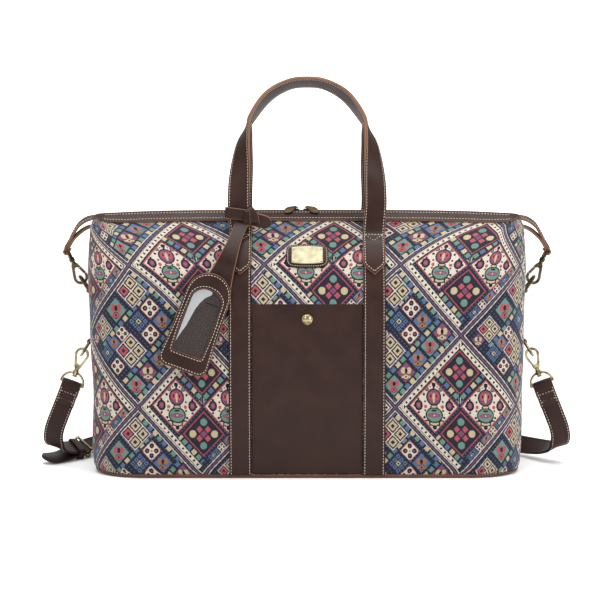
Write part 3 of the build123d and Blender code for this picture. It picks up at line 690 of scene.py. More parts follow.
def leather_group():
    """Node group for smooth oiled leather: colour, roughness and fine grain height."""
    group = bpy.data.node_groups.new("oiled_leather", "ShaderNodeTree")
    group.interface.new_socket("Tint", in_out="INPUT", socket_type="NodeSocketColor")
    group.interface.new_socket("Colour", in_out="OUTPUT", socket_type="NodeSocketColor")
    group.interface.new_socket("Roughness", in_out="OUTPUT", socket_type="NodeSocketFloat")
    group.interface.new_socket("Normal", in_out="OUTPUT", socket_type="NodeSocketVector")
    d = Draft(group)
    source = group.nodes.new("NodeGroupInput")
    place = group.nodes.new("ShaderNodeTexCoord").outputs["Object"]
    cloud = d.put("ShaderNodeTexNoise", place, None, 38.0).outputs["Fac"]
    cloud.node.inputs["Detail"].default_value = 5.0
    fine = d.put("ShaderNodeTexNoise", place, None, 900.0).outputs["Fac"]
    pore = d.put("ShaderNodeTexVoronoi", place, None, 1300.0).outputs["Distance"]
    spread = d.put("ShaderNodeMapRange", cloud, 0.35, 0.65, 0.84, 1.16).outputs[0]
    grain = d.put("ShaderNodeMapRange", fine, 0.3, 0.7, 0.93, 1.07).outputs[0]
    made = d.put("ShaderNodeVectorMath", source.outputs["Tint"], operation="SCALE")
    group.links.new(d.calc("MULTIPLY", spread, grain), made.inputs["Scale"])
    out = group.nodes.new("NodeGroupOutput")
    group.links.new(made.outputs[0], out.inputs["Colour"])
    rough = d.put("ShaderNodeMapRange", cloud, 0.3, 0.7, 0.36, 0.50).outputs[0]
    group.links.new(rough, out.inputs["Roughness"])
    bump = group.nodes.new("ShaderNodeBump")
    bump.inputs["Strength"].default_value = 0.25
    bump.inputs["Distance"].default_value = 0.00025
    group.links.new(d.calc("ADD", pore, d.calc("MULTIPLY", fine, 0.6)), bump.inputs["Height"])
    group.links.new(bump.outputs[0], out.inputs["Normal"])
    return group


LEATHER_NODES = leather_group()


def leather_material(name, tint):
    """Leather of one tint."""
    mat, shader = plain_material(name, tint, 0.42)
    skin_nodes = mat.node_tree.nodes.new("ShaderNodeGroup")
    skin_nodes.node_tree = LEATHER_NODES
    skin_nodes.inputs["Tint"].default_value = tint
    shader.inputs["Specular IOR Level"].default_value = 0.2
    for out, into in (("Colour", "Base Color"), ("Roughness", "Roughness"), ("Normal", "Normal")):
        mat.node_tree.links.new(skin_nodes.outputs[out], shader.inputs[into])
    return mat


leather = leather_material("brown_leather", linear(47, 28, 23))
raw_edge = leather_material("raw_leather_edge", linear(122, 86, 64))
piping_leather = leather_material("piping_leather", linear(92, 60, 44))
dark_edge = leather_material("dyed_leather_edge", linear(34, 22, 19))


def around(z, lift):
    """Closed loop of points round the whole body at a height."""
    t = height_to_length(z)
    front = [round_body((i / 72 - 1) * WHOLE, t, lift) for i in range(144)]
    return front + [Vector((-p.x, -p.y, p.z)) for p in front]


def stacked_loops(name, loops, materials, cap=False):
    """Surface through closed loops of equal length, optionally closed at the last one."""
    bm = bmesh.new()
    made = [[bm.verts.new(p) for p in loop] for loop in loops]
    for low, high in zip(made, made[1:]):
        for i in range(len(low)):
            j = (i + 1) % len(low)
            bm.faces.new((low[i], low[j], high[j], high[i]))
    if cap:
        bm.faces.new(made[-1])
    bmesh.ops.recalc_face_normals(bm, faces=bm.faces)
    return link_mesh(name, bm, materials)


rounds = [(0.0004, -0.001), (0.0004, 0.0008), (0.0009, 0.0017), (0.0018, 0.0021), (0.0030, 0.0020)]
rounds += [(0.0038, 0.0014), (0.0041, 0.0004), (0.0041, -0.001)]
piping = stacked_loops("base_edge_piping", [around(z, lift) for z, lift in rounds], [piping_leather])
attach(piping, "bag")
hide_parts("base_piping")

rim = around(0.0004, -0.0002)
for p in rim:
    p.z = 0.0009
bottom = stacked_loops(
    "base_leather",
    [rim] + [[Vector((p.x * k, p.y * k, 0.0007)) for p in rim] for k in (0.96, 0.7, 0.4, 0.1)],
    [leather], cap=True,
)
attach(bottom, "bag")
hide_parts("base_panel")

board, board_shader = plain_material("board", linear(120, 104, 84), 0.85)
d = Draft(board.node_tree)
fleck = d.put("ShaderNodeTexNoise", d.object_place(), None, 260.0).outputs["Fac"]
board.node_tree.links.new(
    d.paint(linear(104, 90, 72), linear(136, 120, 98), fleck), board_shader.inputs["Base Color"]
)

board_edge = around(0.0035, -0.0042)
stiffener = stacked_loops(
    "base_stiffener",
    [[Vector((p.x, p.y, z)) for p in board_edge] for z in (0.0062, 0.0034)], [board], cap=True,
)
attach(stiffener, "bag")
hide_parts("base_board")

# ---------------------------------------------------------------------------------------------
# Stitching thread: cream waxed thread in saddle stitches, each a short plump lens pressed a
# little into the leather.
# ---------------------------------------------------------------------------------------------
thread_mat, thread_shader = plain_material("stitching_thread", linear(222, 210, 192), 0.8)
thread_shader.inputs["Sheen Weight"].default_value = 0.2
STITCH_INSET = 0.0022


def add_stitches(bm, points, normals, pitch=0.0034, length=0.0021, width=0.0006):
    """Stitches along a polyline, one every pitch."""
    runs = [0.0]
    for a, b in zip(points, points[1:]):
        runs.append(runs[-1] + (b - a).length)
    count = max(1, round(runs[-1] / pitch))
    for k in range(count):
        s = runs[-1] * (k + 0.5) / count
        i = min(len(points) - 2, max(0, int(np.searchsorted(runs, s)) - 1))
        f = (s - runs[i]) / max(1e-9, runs[i + 1] - runs[i])
        centre = points[i].lerp(points[i + 1], f)
        out = normals[i].lerp(normals[i + 1], f).normalized()
        along = (points[i + 1] - points[i]).normalized()
        side = along.cross(out).normalized()
        along = (along + side * 0.12).normalized()
        side = along.cross(out).normalized()
        rings = []
        for step, swell in ((-0.5, 0.3), (-0.32, 0.95), (0.32, 0.95), (0.5, 0.3)):
            ring = []
            for turn in range(6):
                angle = turn * math.pi / 3
                offset = side * (math.cos(angle) * width / 2 * swell)
                offset += out * (math.sin(angle) * width * 0.42 * swell)
                ring.append(bm.verts.new(centre + along * (length * step) + offset))
            rings.append(ring)
        for low, high in zip(rings, rings[1:]):
            for here in range(6):
                after = (here + 1) % 6
                bm.faces.new((low[here], high[here], high[after], low[after]))
        bm.faces.new(rings[0])
        bm.faces.new(list(reversed(rings[-1])))


def stitch_piece(name, rows, body="bag", **sizes):
    """One mesh of stitches from rows of (points, normals)."""
    bm = bmesh.new()
    for points, normals in rows:
        add_stitches(bm, points, normals, **sizes)
    bmesh.ops.recalc_face_normals(bm, faces=bm.faces)
    piece = link_mesh(name, bm, [thread_mat])
    if body:
        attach(piece, body)
    return piece


def front_row(path, lift, back=False):
    """Row of points and normals on the front, or the back, from (x, t) places."""
    turn = -1.0 if back else 1.0
    points, normals = [], []
    for x, t in path:
        a, b = on_front(x, t, lift), on_front(x, t, lift + 0.001)
        points.append(Vector((a.x * turn, a.y * turn, a.z)))
        normals.append(Vector((0, (b.y - a.y) * turn, b.z - a.z)).normalized())
    return points, normals


# ---------------------------------------------------------------------------------------------
# Leather bands and pocket: two strips up each side of the bag, sewn down along both edges, and
# a flat open-topped pocket between the front pair. Smooth brown leather with dyed dark edges.
# ---------------------------------------------------------------------------------------------
BAND_X, BAND_WIDTH, BAND_THICK = 0.0755, 0.025, 0.0024
POCKET_HALF, POCKET_TOP, POCKET_THICK = 0.0629, 0.198, 0.002
LEATHER_LOW = height_to_length(0.0043)


def laid_on(name, x0, x1, t0, t1, thick, columns, rows, back=False, edge=dark_edge):
    """Leather piece lying flat on the cloth, its cut edges showing."""

    def place(i, j):
        return on_front(x0 + (x1 - x0) * i, t0 + (t1 - t0) * j, 0.0002)

    piece = sheet_mesh(name, place, columns, rows, [leather, edge], back)
    thicken(piece, thick, rubbed=True)
    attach(piece, "bag")
    return piece


band_top = height_to_length(0.2844)
rows = []
for back in (False, True):
    for side in (-1, 1):
        end = ("rear" if back else "front") + ("_left" if side == (1 if back else -1) else "_right")
        x = side * BAND_X
        band = laid_on(
            "band_" + end + "_leather", x - BAND_WIDTH / 2, x + BAND_WIDTH / 2, LEATHER_LOW, band_top,
            BAND_THICK, 6, 60, back,
        )
        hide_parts("band_" + end)
        for edge in (-1, 1):
            place = x + edge * (BAND_WIDTH / 2 - 0.0021)
            path = [(place, LEATHER_LOW + (band_top - LEATHER_LOW) * k / 60) for k in range(61)]
            rows.append(front_row(path, BAND_THICK + 0.0003, back))
stitch_piece("band_stitches", rows)

pocket_top = height_to_length(POCKET_TOP)
pocket = laid_on(
    "front_pocket_leather", -POCKET_HALF, POCKET_HALF, LEATHER_LOW, pocket_top, POCKET_THICK, 24, 50
)
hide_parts("front_pocket")

# ---------------------------------------------------------------------------------------------
# Top trims, side seam strips and zip: long leather strips fold over the cloth beside the zip,
# narrow ones cover the side seams, and a woven tape with metal teeth closes the mouth.
# ---------------------------------------------------------------------------------------------
TRIM_EDGE = height_to_length(0.2893)
TRIM_THICK = 0.0023
SEAM_LOW, SEAM_TOP = 0.0061, 0.2807
SEAM_WIDTH, SEAM_THICK = 0.010, 0.0019


def trim_level(s, j):
    """Length up the side of a share j of the trim, which narrows as it nears the corners."""
    near = min(1.0, max(0.0, (abs(s) - 0.165) / 0.075))
    low = TRIM_EDGE + (UP_END - TRIM_EDGE) * 0.72 * near * near * (3 - 2 * near)
    return low + (UP_END - low) * j


def trim_place(i, j):
    """Trim wrapped along the slope beside the zip and round its two ends."""
    s = (i * 2 - 1) * WHOLE
    return round_body(s, trim_level(s, j), 0.0003)


rows = []
for name, back in (("trim_front", False), ("trim_rear", True)):
    trim = sheet_mesh(name + "_leather", trim_place, 150, 8, [leather, raw_edge], back)
    thicken(trim, TRIM_THICK, rubbed=True)
    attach(trim, "bag")
    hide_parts(name)
    turn = -1.0 if back else 1.0
    for level in (0.20, 0.80):
        points, normals = [], []
        for i in range(121):
            s = (i / 60 - 1) * 0.215
            t = trim_level(s, level)
            a, b = round_body(s, t, TRIM_THICK + 0.0004), round_body(s, t, TRIM_THICK + 0.0014)
            points.append(Vector((a.x * turn, a.y * turn, a.z)))
            normals.append(Vector(((b.x - a.x) * turn, (b.y - a.y) * turn, b.z - a.z)).normalized())
        rows.append((points, normals))
stitch_piece("trim_stitches", rows)

rows = []
for side, label in ((-1, "left"), (1, "right")):
    def seam_place(i, j, side=side):
        z = SEAM_LOW + (SEAM_TOP - SEAM_LOW) * j
        return Vector((side * (half_width(z) + 0.0002), (i - 0.5) * SEAM_WIDTH, settle(0.25, z)))

    strip = sheet_mesh("side_seam_" + label, seam_place, 4, 60, [leather, raw_edge])
    thicken(strip, SEAM_THICK)
    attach(strip, "bag")
    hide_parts("seam_strips")
    for y in (-0.0032, 0.0032):
        heights = [0.008 + 0.27 * k / 40 for k in range(41)]
        sides = [side * (half_width(z) + SEAM_THICK + 0.0004) for z in heights]
        points = [Vector((x, y, settle(0.25, z))) for x, z in zip(sides, heights)]
        rows.append((points, [Vector((side, 0, 0))] * 41))
stitch_piece("side_seam_stitches", rows)

tape_mat, tape_shader = plain_material("zip_tape_cloth", linear(48, 34, 30), 0.85)
d = Draft(tape_mat.node_tree)
ribs = d.put("ShaderNodeTexWave", d.object_place(), 900.0)
tape_mat.node_tree.links.new(
    d.paint(linear(40, 28, 25), linear(58, 42, 36), ribs.outputs["Fac"]), tape_shader.inputs["Base Color"]
)


TAPE_HALF = 0.2405
TOOTH_COUNT, TOOTH_PITCH = 190, 0.0025


def tape_place(i, j):
    """Half of the zip tape, level across the mouth from the teeth out under the trim."""
    x = (i * 2 - 1) * TAPE_HALF
    return Vector((x, -0.0028 - 0.0222 * j, settle(x, 0.2998)))


for name, back in (("zip_tape_front", False), ("zip_tape_rear", True)):
    tape = sheet_mesh(name + "_cloth", tape_place, 60, 4, [tape_mat], back)
    thicken(tape, 0.0015, outward=False)
    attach(tape, "bag")
    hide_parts(name)

bm = bmesh.new()
for k in range(TOOTH_COUNT):
    for side in (-1, 1):
        x = (k - (TOOTH_COUNT - 1) / 2) * TOOTH_PITCH + side * 0.0006
        place = Matrix.Translation((x, side * 0.0011, settle(x, 0.2996)))
        place = place @ Matrix.Diagonal((0.0012, 0.0030, 0.0028, 1))
        bmesh.ops.create_cube(bm, size=1.0, matrix=place)
bmesh.ops.bevel(bm, geom=list(bm.edges), offset=0.0003, segments=1, affect="EDGES", profile=0.5, material=-1)

teeth_mat, _ = plain_material("zip_teeth_metal", linear(70, 60, 48), 0.35)
teeth = link_mesh("zip_teeth_rows", bm, [teeth_mat], smooth=False)
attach(teeth, "bag")
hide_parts("zip_teeth")

# ---------------------------------------------------------------------------------------------
# Handles: one flat strap each, sewn flat on the bands with rounded ends, standing up off the
# shoulders and turning edge-on at the top. Two layers of leather stitched along both edges.
# ---------------------------------------------------------------------------------------------
def smooth_path(stations, step=0.004):
    """Evenly spaced centres and width directions through stations of (centre, across)."""
    centres, acrosses = [], []
    count = len(stations)
    for i in range(count - 1):
        group = [stations[min(max(i + k, 0), count - 1)] for k in (-1, 0, 1, 2)]
        reach = (Vector(group[2][0]) - Vector(group[1][0])).length
        pieces = max(2, round(reach / step))
        for j in range(pieces + (i == count - 2)):
            t = j / pieces
            row = []
            for part in (0, 1):
                p0, p1, p2, p3 = [Vector(g[part]) for g in group]
                row.append(
                    (p1 * 2 + (p2 - p0) * t + (p0 * 2 - p1 * 5 + p2 * 4 - p3) * t**2
                     + (p1 * 3 - p0 - p2 * 3 + p3) * t**3) * 0.5
                )
            centres.append(row[0])
            acrosses.append(row[1].normalized())
    frames = []
    for i, (centre, across) in enumerate(zip(centres, acrosses)):
        along = (centres[min(i + 1, len(centres) - 1)] - centres[max(i - 1, 0)]).normalized()
        across = (across - along * across.dot(along)).normalized()
        frames.append((centre, across, across.cross(along).normalized()))
    return frames


def facing_front(frames):
    """The same frames, with their outer side towards the front where they start."""
    turn = -1.0 if frames[0][2].y > 0 else 1.0
    return [(centre, across, out * turn) for centre, across, out in frames]


TIP_CURVE = 1.7


def strap_mesh(
    name, frames, width, thick, materials,
    round_start=False, round_end=False, body="bag", shape=None, tip=None,
):
    """Leather strap with softly rounded edges; tip makes its ends pointed, over that length."""
    w, h = width / 2, thick / 2
    c = min(0.0007, h * 0.6)
    row = STITCH_INSET
    # the section across the strap, dipping a little along its stitch rows
    across = [
        (-w + c, h), (-w + row, h - 0.0002), (-w + row * 2, h + 0.0001), (0, h + 0.0002),
        (w - row * 2, h + 0.0001), (w - row, h - 0.0002), (w - c, h),
        (w - 0.3 * c, h - 0.3 * c), (w, h - c), (w, -h + c), (w - 0.3 * c, -h + 0.3 * c),
        (w - c, -h), (w - row, -h + 0.0002), (w - row * 2, -h), (-w + row * 2, -h), (-w + row, -h + 0.0002),
        (-w + c, -h), (-w + 0.3 * c, -h + 0.3 * c), (-w, -h + c), (-w, h - c), (-w + 0.3 * c, h - 0.3 * c),
    ]
    lengths = [0.0]
    for a, b in zip(frames, frames[1:]):
        lengths.append(lengths[-1] + (b[0] - a[0]).length)

    def narrowing(i):
        share = 1.0
        for on, gone in ((round_start, lengths[i]), (round_end, lengths[-1] - lengths[i])):
            if on and tip and gone < tip:
                share = min(share, 1 - (1 - gone / tip) ** TIP_CURVE)
            elif on and not tip and gone < w:
                share = min(share, math.sqrt(max(0.0, 1 - (1 - gone / w) ** 2)))
        return max(share, 0.12) * (shape(lengths[i] / lengths[-1]) if shape else 1.0)

    extra = []
    if round_start or round_end:
        for k in (0.02, 0.06, 0.12, 0.2, 0.3, 0.42, 0.56, 0.72):
            extra += [k * w] * round_start + [lengths[-1] - k * w] * round_end
    for s in sorted(extra):
        i = min(len(lengths) - 2, max(0, int(np.searchsorted(lengths, s)) - 1))
        f = (s - lengths[i]) / (lengths[i + 1] - lengths[i])
        if 0.02 < f < 0.98:
            a, b = frames[i], frames[i + 1]
            frames = frames[: i + 1] + [tuple(u.lerp(v, f) for u, v in zip(a, b))] + frames[i + 1 :]
            lengths = lengths[: i + 1] + [s] + lengths[i + 1 :]
    bm = bmesh.new()
    rings = []
    for i, (centre, side, out) in enumerate(frames):
        share = narrowing(i)
        rings.append([bm.verts.new(centre + side * (u * share) + out * v) for u, v in across])
    for low, high in zip(rings, rings[1:]):
        for k in range(len(across)):
            m = (k + 1) % len(across)
            face = bm.faces.new((low[k], low[m], high[m], high[k]))
            face.material_index = 0 if k in range(0, 6) or k in range(11, 16) else 1
    for ring in (rings[0], rings[-1]):
        bm.faces.new(ring).material_index = 1
    bmesh.ops.recalc_face_normals(bm, faces=bm.faces)
    piece = link_mesh(name, bm, materials)
    if body:
        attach(piece, body)
    return piece


def strap_row(frames, place, lift, start=0, end=None):
    """Row of points and normals along a strap at a place across it; lift below 0 is the inner face."""
    points, normals = [], []
    for centre, side, out in frames[start:end]:
        points.append(centre + side * place + out * lift)
        normals.append(out if lift > 0 else -out)
    return points, normals


HANDLE_WIDTH, HANDLE_THICK = 0.025, 0.0036
HANDLE_LEAN = math.radians(20)
HANDLE_TIP = 0.0145
# places of the box seam's corners, counted in frames from the tip
BOX_TOP, BOX_POINT = 17.6, 14.2
# left half of the loop: place, and how far the strap's width has turned to edge-on, in degrees
LOOP = [
    (-0.0783, -0.0515, 0.322, 4), (-0.0773, -0.047, 0.341, 18), (-0.074, -0.0385, 0.378, 46),
    (-0.0702, -0.0325, 0.396, 63), (-0.065, -0.028, 0.411, 79), (-0.046, -0.0195, 0.436, 90),
    (-0.022, -0.015, 0.450, 90),
    (0.0, -0.014, 0.453, 90),
]
LOOP += [(-x, y, z, t) for x, y, z, t in reversed(LOOP[:-1])]


def handle_stations():
    """Front handle from its left sewn tip over the loop to its right one."""
    foot = []
    for z in (0.2300, 0.2365, 0.246, 0.256, 0.264):
        p = on_front(-BAND_X, height_to_length(z), 0.0042)
        foot.append((p, Vector((-1, 0, 0))))
    for place in ((-0.0757, -0.0630, 0.2745), (-0.0768, -0.0578, 0.2885), (-0.0783, -0.0546, 0.306)):
        foot.append((Vector(place), Vector((-1, 0, 0))))
    loop = []
    for i, (x, y, z, t) in enumerate(LOOP):
        a, b = LOOP[max(i - 1, 0)], LOOP[min(i + 1, len(LOOP) - 1)]
        dx, dz = b[0] - a[0], b[2] - a[2]
        run = math.hypot(dx, dz)
        turn = math.radians(t)
        side = Vector((-dz / run * math.cos(turn), math.sin(turn), dx / run * math.cos(turn)))
        outward = Vector((-dz, 0, dx)).normalized()
        lean = HANDLE_LEAN * math.sin(turn) ** 2
        side = (side * math.cos(lean) - outward * math.sin(lean)).normalized()
        loop.append((Vector((x, y, z - 0.0025 * math.sin(turn) ** 4)), side))
    right = [(Vector((-p.x, p.y, p.z)), Vector((1, 0, 0))) for p, _ in reversed(foot)]
    return foot + loop + right


front_frames = facing_front(smooth_path(handle_stations(), 0.003))
rear_frames = [tuple(Vector((-v.x, -v.y, v.z)) for v in row) for row in front_frames]
half_thick = HANDLE_THICK / 2 + 0.0001
for which, frames in (("front", front_frames), ("rear", rear_frames)):
    y = -0.056 if which == "front" else 0.056
    strap = strap_mesh(
        "handle_" + which + "_strap", frames, HANDLE_WIDTH, HANDLE_THICK, [leather, raw_edge],
        round_start=True, round_end=True, body=None, tip=HANDLE_TIP,
    )
    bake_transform(strap)
    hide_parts("handle_" + which, "handle_" + which + "_ends")
    rows = []
    inset = HANDLE_WIDTH / 2 - STITCH_INSET
    for face in (half_thick, -half_thick):
        # along both edges, clear of the sewn inner face, and round both tips on the outer one
        first = 5 if face > 0 else 18
        for place in (-inset, inset):
            rows.append(strap_row(frames, place, face, first, -first))
    for end in (0, -1):
        arc_points, arc_normals = [], []
        for k in range(25):
            f = k / 12 - 1
            near = 1 - abs(f)
            down = (0.0030 * near + HANDLE_TIP * (1 - near ** (1 / TIP_CURVE))) / 0.003
            i = int(down)
            low, high = (i, i + 1) if end == 0 else (-1 - i, -2 - i)
            centre, side, out = [p.lerp(q, down - i) for p, q in zip(frames[low], frames[high])]
            arc_points.append(centre + side * (f * inset) + out * half_thick)
            arc_normals.append(out)
        rows.append((arc_points, arc_normals))
        # box seam across the top of the sewn end, with its point below
        left, right, point = (-inset, BOX_TOP), (inset, BOX_TOP), (0, BOX_POINT)
        for spans in ((left, right), (left, point), (point, right)):
            line, normals = [], []
            for k in range(7):
                f = k / 6
                place = spans[0][0] + (spans[1][0] - spans[0][0]) * f
                index = spans[0][1] + (spans[1][1] - spans[0][1]) * f
                low = int(index)
                a = frames[low if end == 0 else -1 - low]
                b = frames[low + 1 if end == 0 else -2 - low]
                g = index - low
                line.append((a[0].lerp(b[0], g)) + a[1] * place + a[2] * half_thick)
                normals.append(a[2])
            rows.append((line, normals))
    seam = stitch_piece("handle_" + which + "_stitches", rows, body=None)
    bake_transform(seam)

# ---------------------------------------------------------------------------------------------
# Badge and metal: a leather patch lies under the bowed plate, which four small rivets hold. The
# plate, the brass and the dark bronze parts all take a worn plated look.
# ---------------------------------------------------------------------------------------------
def rounded_square(turns, power):
    """Points (u, v) round a square from -1 to 1, its corners rounded by the power."""
    points = []
    for angle in turns:
        u, v = math.cos(angle), math.sin(angle)
        points.append((math.copysign(abs(u) ** power, u), math.copysign(abs(v) ** power, v)))
    return points


PATCH = (0.0475, 0.0285)
PATCH_Z = 0.251


def patch_outline(shrink):
    """Rounded, slightly bowed outline of the patch as (x, up) points."""
    points = []
    for u, v in rounded_square([2 * math.pi * k / 96 for k in range(96)], 0.36):
        bow = 1 + 0.06 * (1 - u * u)
        points.append((u * (PATCH[0] / 2 - shrink), v * (PATCH[1] / 2 * bow - shrink)))
    return points


def patch_ring(shrink, lift):
    """Ring of points of the patch laid on the shoulder."""
    return [on_front(x, height_to_length(PATCH_Z) + up, lift) for x, up in patch_outline(shrink)]


patch = stacked_loops(
    "badge_patch_leather",
    [patch_ring(0, 0.0001), patch_ring(0, 0.0013), patch_ring(0.0005, 0.0017), patch_ring(0.004, 0.0018),
     patch_ring(0.009, 0.0018)], [leather], cap=True,
)
points = patch_ring(0.0017, 0.0019)
raised = patch_ring(0.0017, 0.0029)
away = [(high - low).normalized() for low, high in zip(points, raised)]
rows = [(points + points[:1], away + away[:1])]
stitch_piece("badge_stitches", rows, pitch=0.0026, length=0.0017, width=0.0005)
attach(patch, "bag")
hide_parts("badge_patch")


def metal_material(name, bright, dark, roughness, amount):
    """Plated metal, worn bright on a dark patina."""
    mat, shader = plain_material(name, bright, roughness)
    shader.inputs["Metallic"].default_value = 1.0
    d = Draft(mat.node_tree)
    place = mat.node_tree.nodes.new("ShaderNodeTexCoord").outputs["Object"]
    cloud = d.put("ShaderNodeTexNoise", place, None, 160.0).outputs["Fac"]
    cloud.node.inputs["Detail"].default_value = 6.0
    mask = d.put("ShaderNodeMapRange", cloud, 0.42, 0.66, 0.0, amount).outputs[0]
    mat.node_tree.links.new(d.paint(bright, dark, mask), shader.inputs["Base Color"])
    rough = d.put("ShaderNodeMapRange", cloud, 0.3, 0.7, roughness - 0.06, roughness + 0.12).outputs[0]
    mat.node_tree.links.new(rough, shader.inputs["Roughness"])
    return mat


gold = metal_material("gold_plate", linear(178, 172, 144), linear(150, 140, 112), 0.5, 0.5)
brass = metal_material("antique_brass", linear(178, 164, 124), linear(84, 72, 48), 0.24, 0.8)
bronze = metal_material("dark_bronze", linear(104, 90, 66), linear(52, 44, 34), 0.34, 0.8)

for metal, names in (
    (gold, ("badge_plate", "badge_rivets")),
    (brass, ("pocket_stud", "strap_buckle", "strap_hook_left", "strap_hook_right",
             "strap_gate_left", "strap_gate_right", "strap_ring_left", "strap_ring_right",
             "lower_ring_left", "lower_ring_right")),
    (bronze, ("corner_hook_left", "corner_hook_right", "corner_gate_left", "corner_gate_right",
              "corner_rings", "upper_ring_left", "upper_ring_right", "zip_slider_left",
              "zip_slider_right", "zip_link_left", "zip_link_right", "zip_leaf_left", "zip_leaf_right")),
):
    for name in names:
        nodes[name].data.materials.clear()
        nodes[name].data.materials.append(metal)

# ---------------------------------------------------------------------------------------------
# Side loops and corner tabs: small folded loops hold the side rings on the seams, and a tapered
# tab, folded double round its ring and stitched, leaves each top corner.
# ---------------------------------------------------------------------------------------------
def folded(points, side, tilt=0.0):
    """Frames along a path of (x, z), mirrored for the left side; tilt leans the strap's width."""
    last = len(points) - 1
    lean_at = [tilt * min(1.0, (k + 0.5) / 5, (last - k + 0.5) / 5) for k in range(last + 1)]
    knots = [((side * x, 0, z), (0, side, side * t)) for (x, z), t in zip(points, lean_at)]
    return smooth_path(knots, 0.0012)


for level, name in ((0.20734, "upper_ring_loops"), (0.14669, "lower_ring_loops")):
    for side, label in ((-1, "left"), (1, "right")):
        x = 0.2568
        turn = [(x + 0.0024 * math.cos(a), level + 0.0024 * math.sin(a)) for a in np.linspace(-1.9, 1.9, 9)]
        path = [(0.2512, level - 0.0075), (0.2530, level - 0.0048)] + turn
        path += [(0.2530, level + 0.0048), (0.2512, level + 0.0075)]
        loop = strap_mesh(name + "_" + label, folded(path, side), 0.011, 0.0015, [leather, raw_edge])
        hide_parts(name)

TAB_OUTER = [
    (0.2425, 0.2948), (0.2520, 0.2930), (0.2608, 0.2902), (0.2690, 0.2838), (0.2752, 0.2740),
    (0.2801, 0.2645), (0.2846, 0.2570),
]
TAB_INNER = [
    (0.2805, 0.2565), (0.2783, 0.2625), (0.2738, 0.2695), (0.2665, 0.2765), (0.2590, 0.2810),
    (0.2510, 0.2836),
]
TAB_TILT = 0.45
TAB_WIDTH = 0.030


def tab_share(f):
    """Share of the tab's full width at a share of its length: narrow only near the bar."""
    return 0.42 + 0.58 * min(1.0, abs(f - 0.53) / 0.47) ** 1.3


rows = []
for side, label in ((-1, "left"), (1, "right")):
    bar = (0.2826, 0.2548)
    turn = [(bar[0] + 0.0026 * math.cos(a), bar[1] + 0.0026 * math.sin(a)) for a in np.linspace(0.4, -3.3, 9)]
    frames = folded(TAB_OUTER + turn + TAB_INNER, side, TAB_TILT)
    tab = strap_mesh(
        "corner_tab_" + label + "_leather", frames, TAB_WIDTH, 0.0027, [leather, raw_edge],
        shape=tab_share,
    )
    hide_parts("corner_tab_" + label)
    count = len(frames)
    mid = int(count * 0.42)
    for place in (-1, 1):
        points, normals = [], []
        for i in range(2, mid):
            centre, across, out = frames[i]
            half = TAB_WIDTH / 2 * tab_share(i / (count - 1)) - STITCH_INSET
            away = out if out.x * side + out.z > 0 else -out
            points.append(centre + across * (place * half) + away * 0.0015)
            normals.append(away)
        rows.append((points, normals))
stitch_piece("corner_tab_stitches", rows)

# ---------------------------------------------------------------------------------------------
# Shoulder strap: a short left part with keeper and buckle and a long right part that lies behind
# the bag. Each end folds over its ring's bar and is sewn down with two cross rows.
# ---------------------------------------------------------------------------------------------
STRAP_WIDTH, STRAP_THICK, FOLD_THICK = 0.023, 0.0032, 0.0019
# stations in millimetres, each with the direction across the strap: the fall from a side ring,
# then the long part on round the back and the short part on to its buckle
FALL = [
    ((280.0, 0, 93.4), (0.94, 0, 0.34)), ((286.5, -1, 77), (0.94, 0, 0.33)),
    ((294, -2, 58), (0.96, 0, 0.27)), ((299.5, -2, 43), (0.99, 0, 0.14)),
    ((301.5, 1, 30), (0.99, 0.05, 0.1)), ((299, 9, 20.5), (0.93, 0.15, 0.3)),
]
LONG = FALL + [
    ((291, 20, 17), (0.8, 0.3, 0.5)), ((280, 36, 15), (0.62, 0.4, 0.68)),
    ((266, 60, 13.5), (0.45, 0.42, 0.79)), ((243, 93, 13), (0.3, 0.4, 0.87)),
    ((205, 124, 13), (0.15, 0.35, 0.92)), ((150, 146, 13), (0.06, 0.3, 0.95)),
    ((60, 160, 13), (0.0, 0.25, 0.97)), ((-60, 158, 13), (0.0, 0.25, 0.97)),
    ((-150, 144, 13), (-0.06, 0.3, 0.95)), ((-205, 122, 13), (-0.15, 0.35, 0.92)),
    ((-243, 92, 12.5), (-0.3, 0.45, 0.84)), ((-266, 62, 12), (-0.5, 0.6, 0.62)),
    ((-281, 40, 9.5), (-0.55, 0.7, 0.45)), ((-293, 22, 6.5), (-0.5, 0.75, 0.3)),
    ((-303, 8, 6), (-0.5, 0.75, 0.3)), ((-312, -4, 8), (-0.5, 0.75, 0.3)),
]
SHORT = FALL + [
    ((292.5, 19, 17), (0.78, 0.4, 0.47)), ((283.5, 33.5, 14.2), (0.62, 0.62, 0.5)),
    ((275, 46, 14.2), (0.52, 0.65, 0.55)),
]


def strap_path(rows, side):
    """Strap stations in metres, mirrored for the left side."""
    stations = []
    for (x, y, z), (u, v, w) in rows:
        place = Vector((side * x, y, z)) / 1000
        stations.append((place, Vector((u, side * v, side * w))))
    return smooth_path(stations, 0.005)


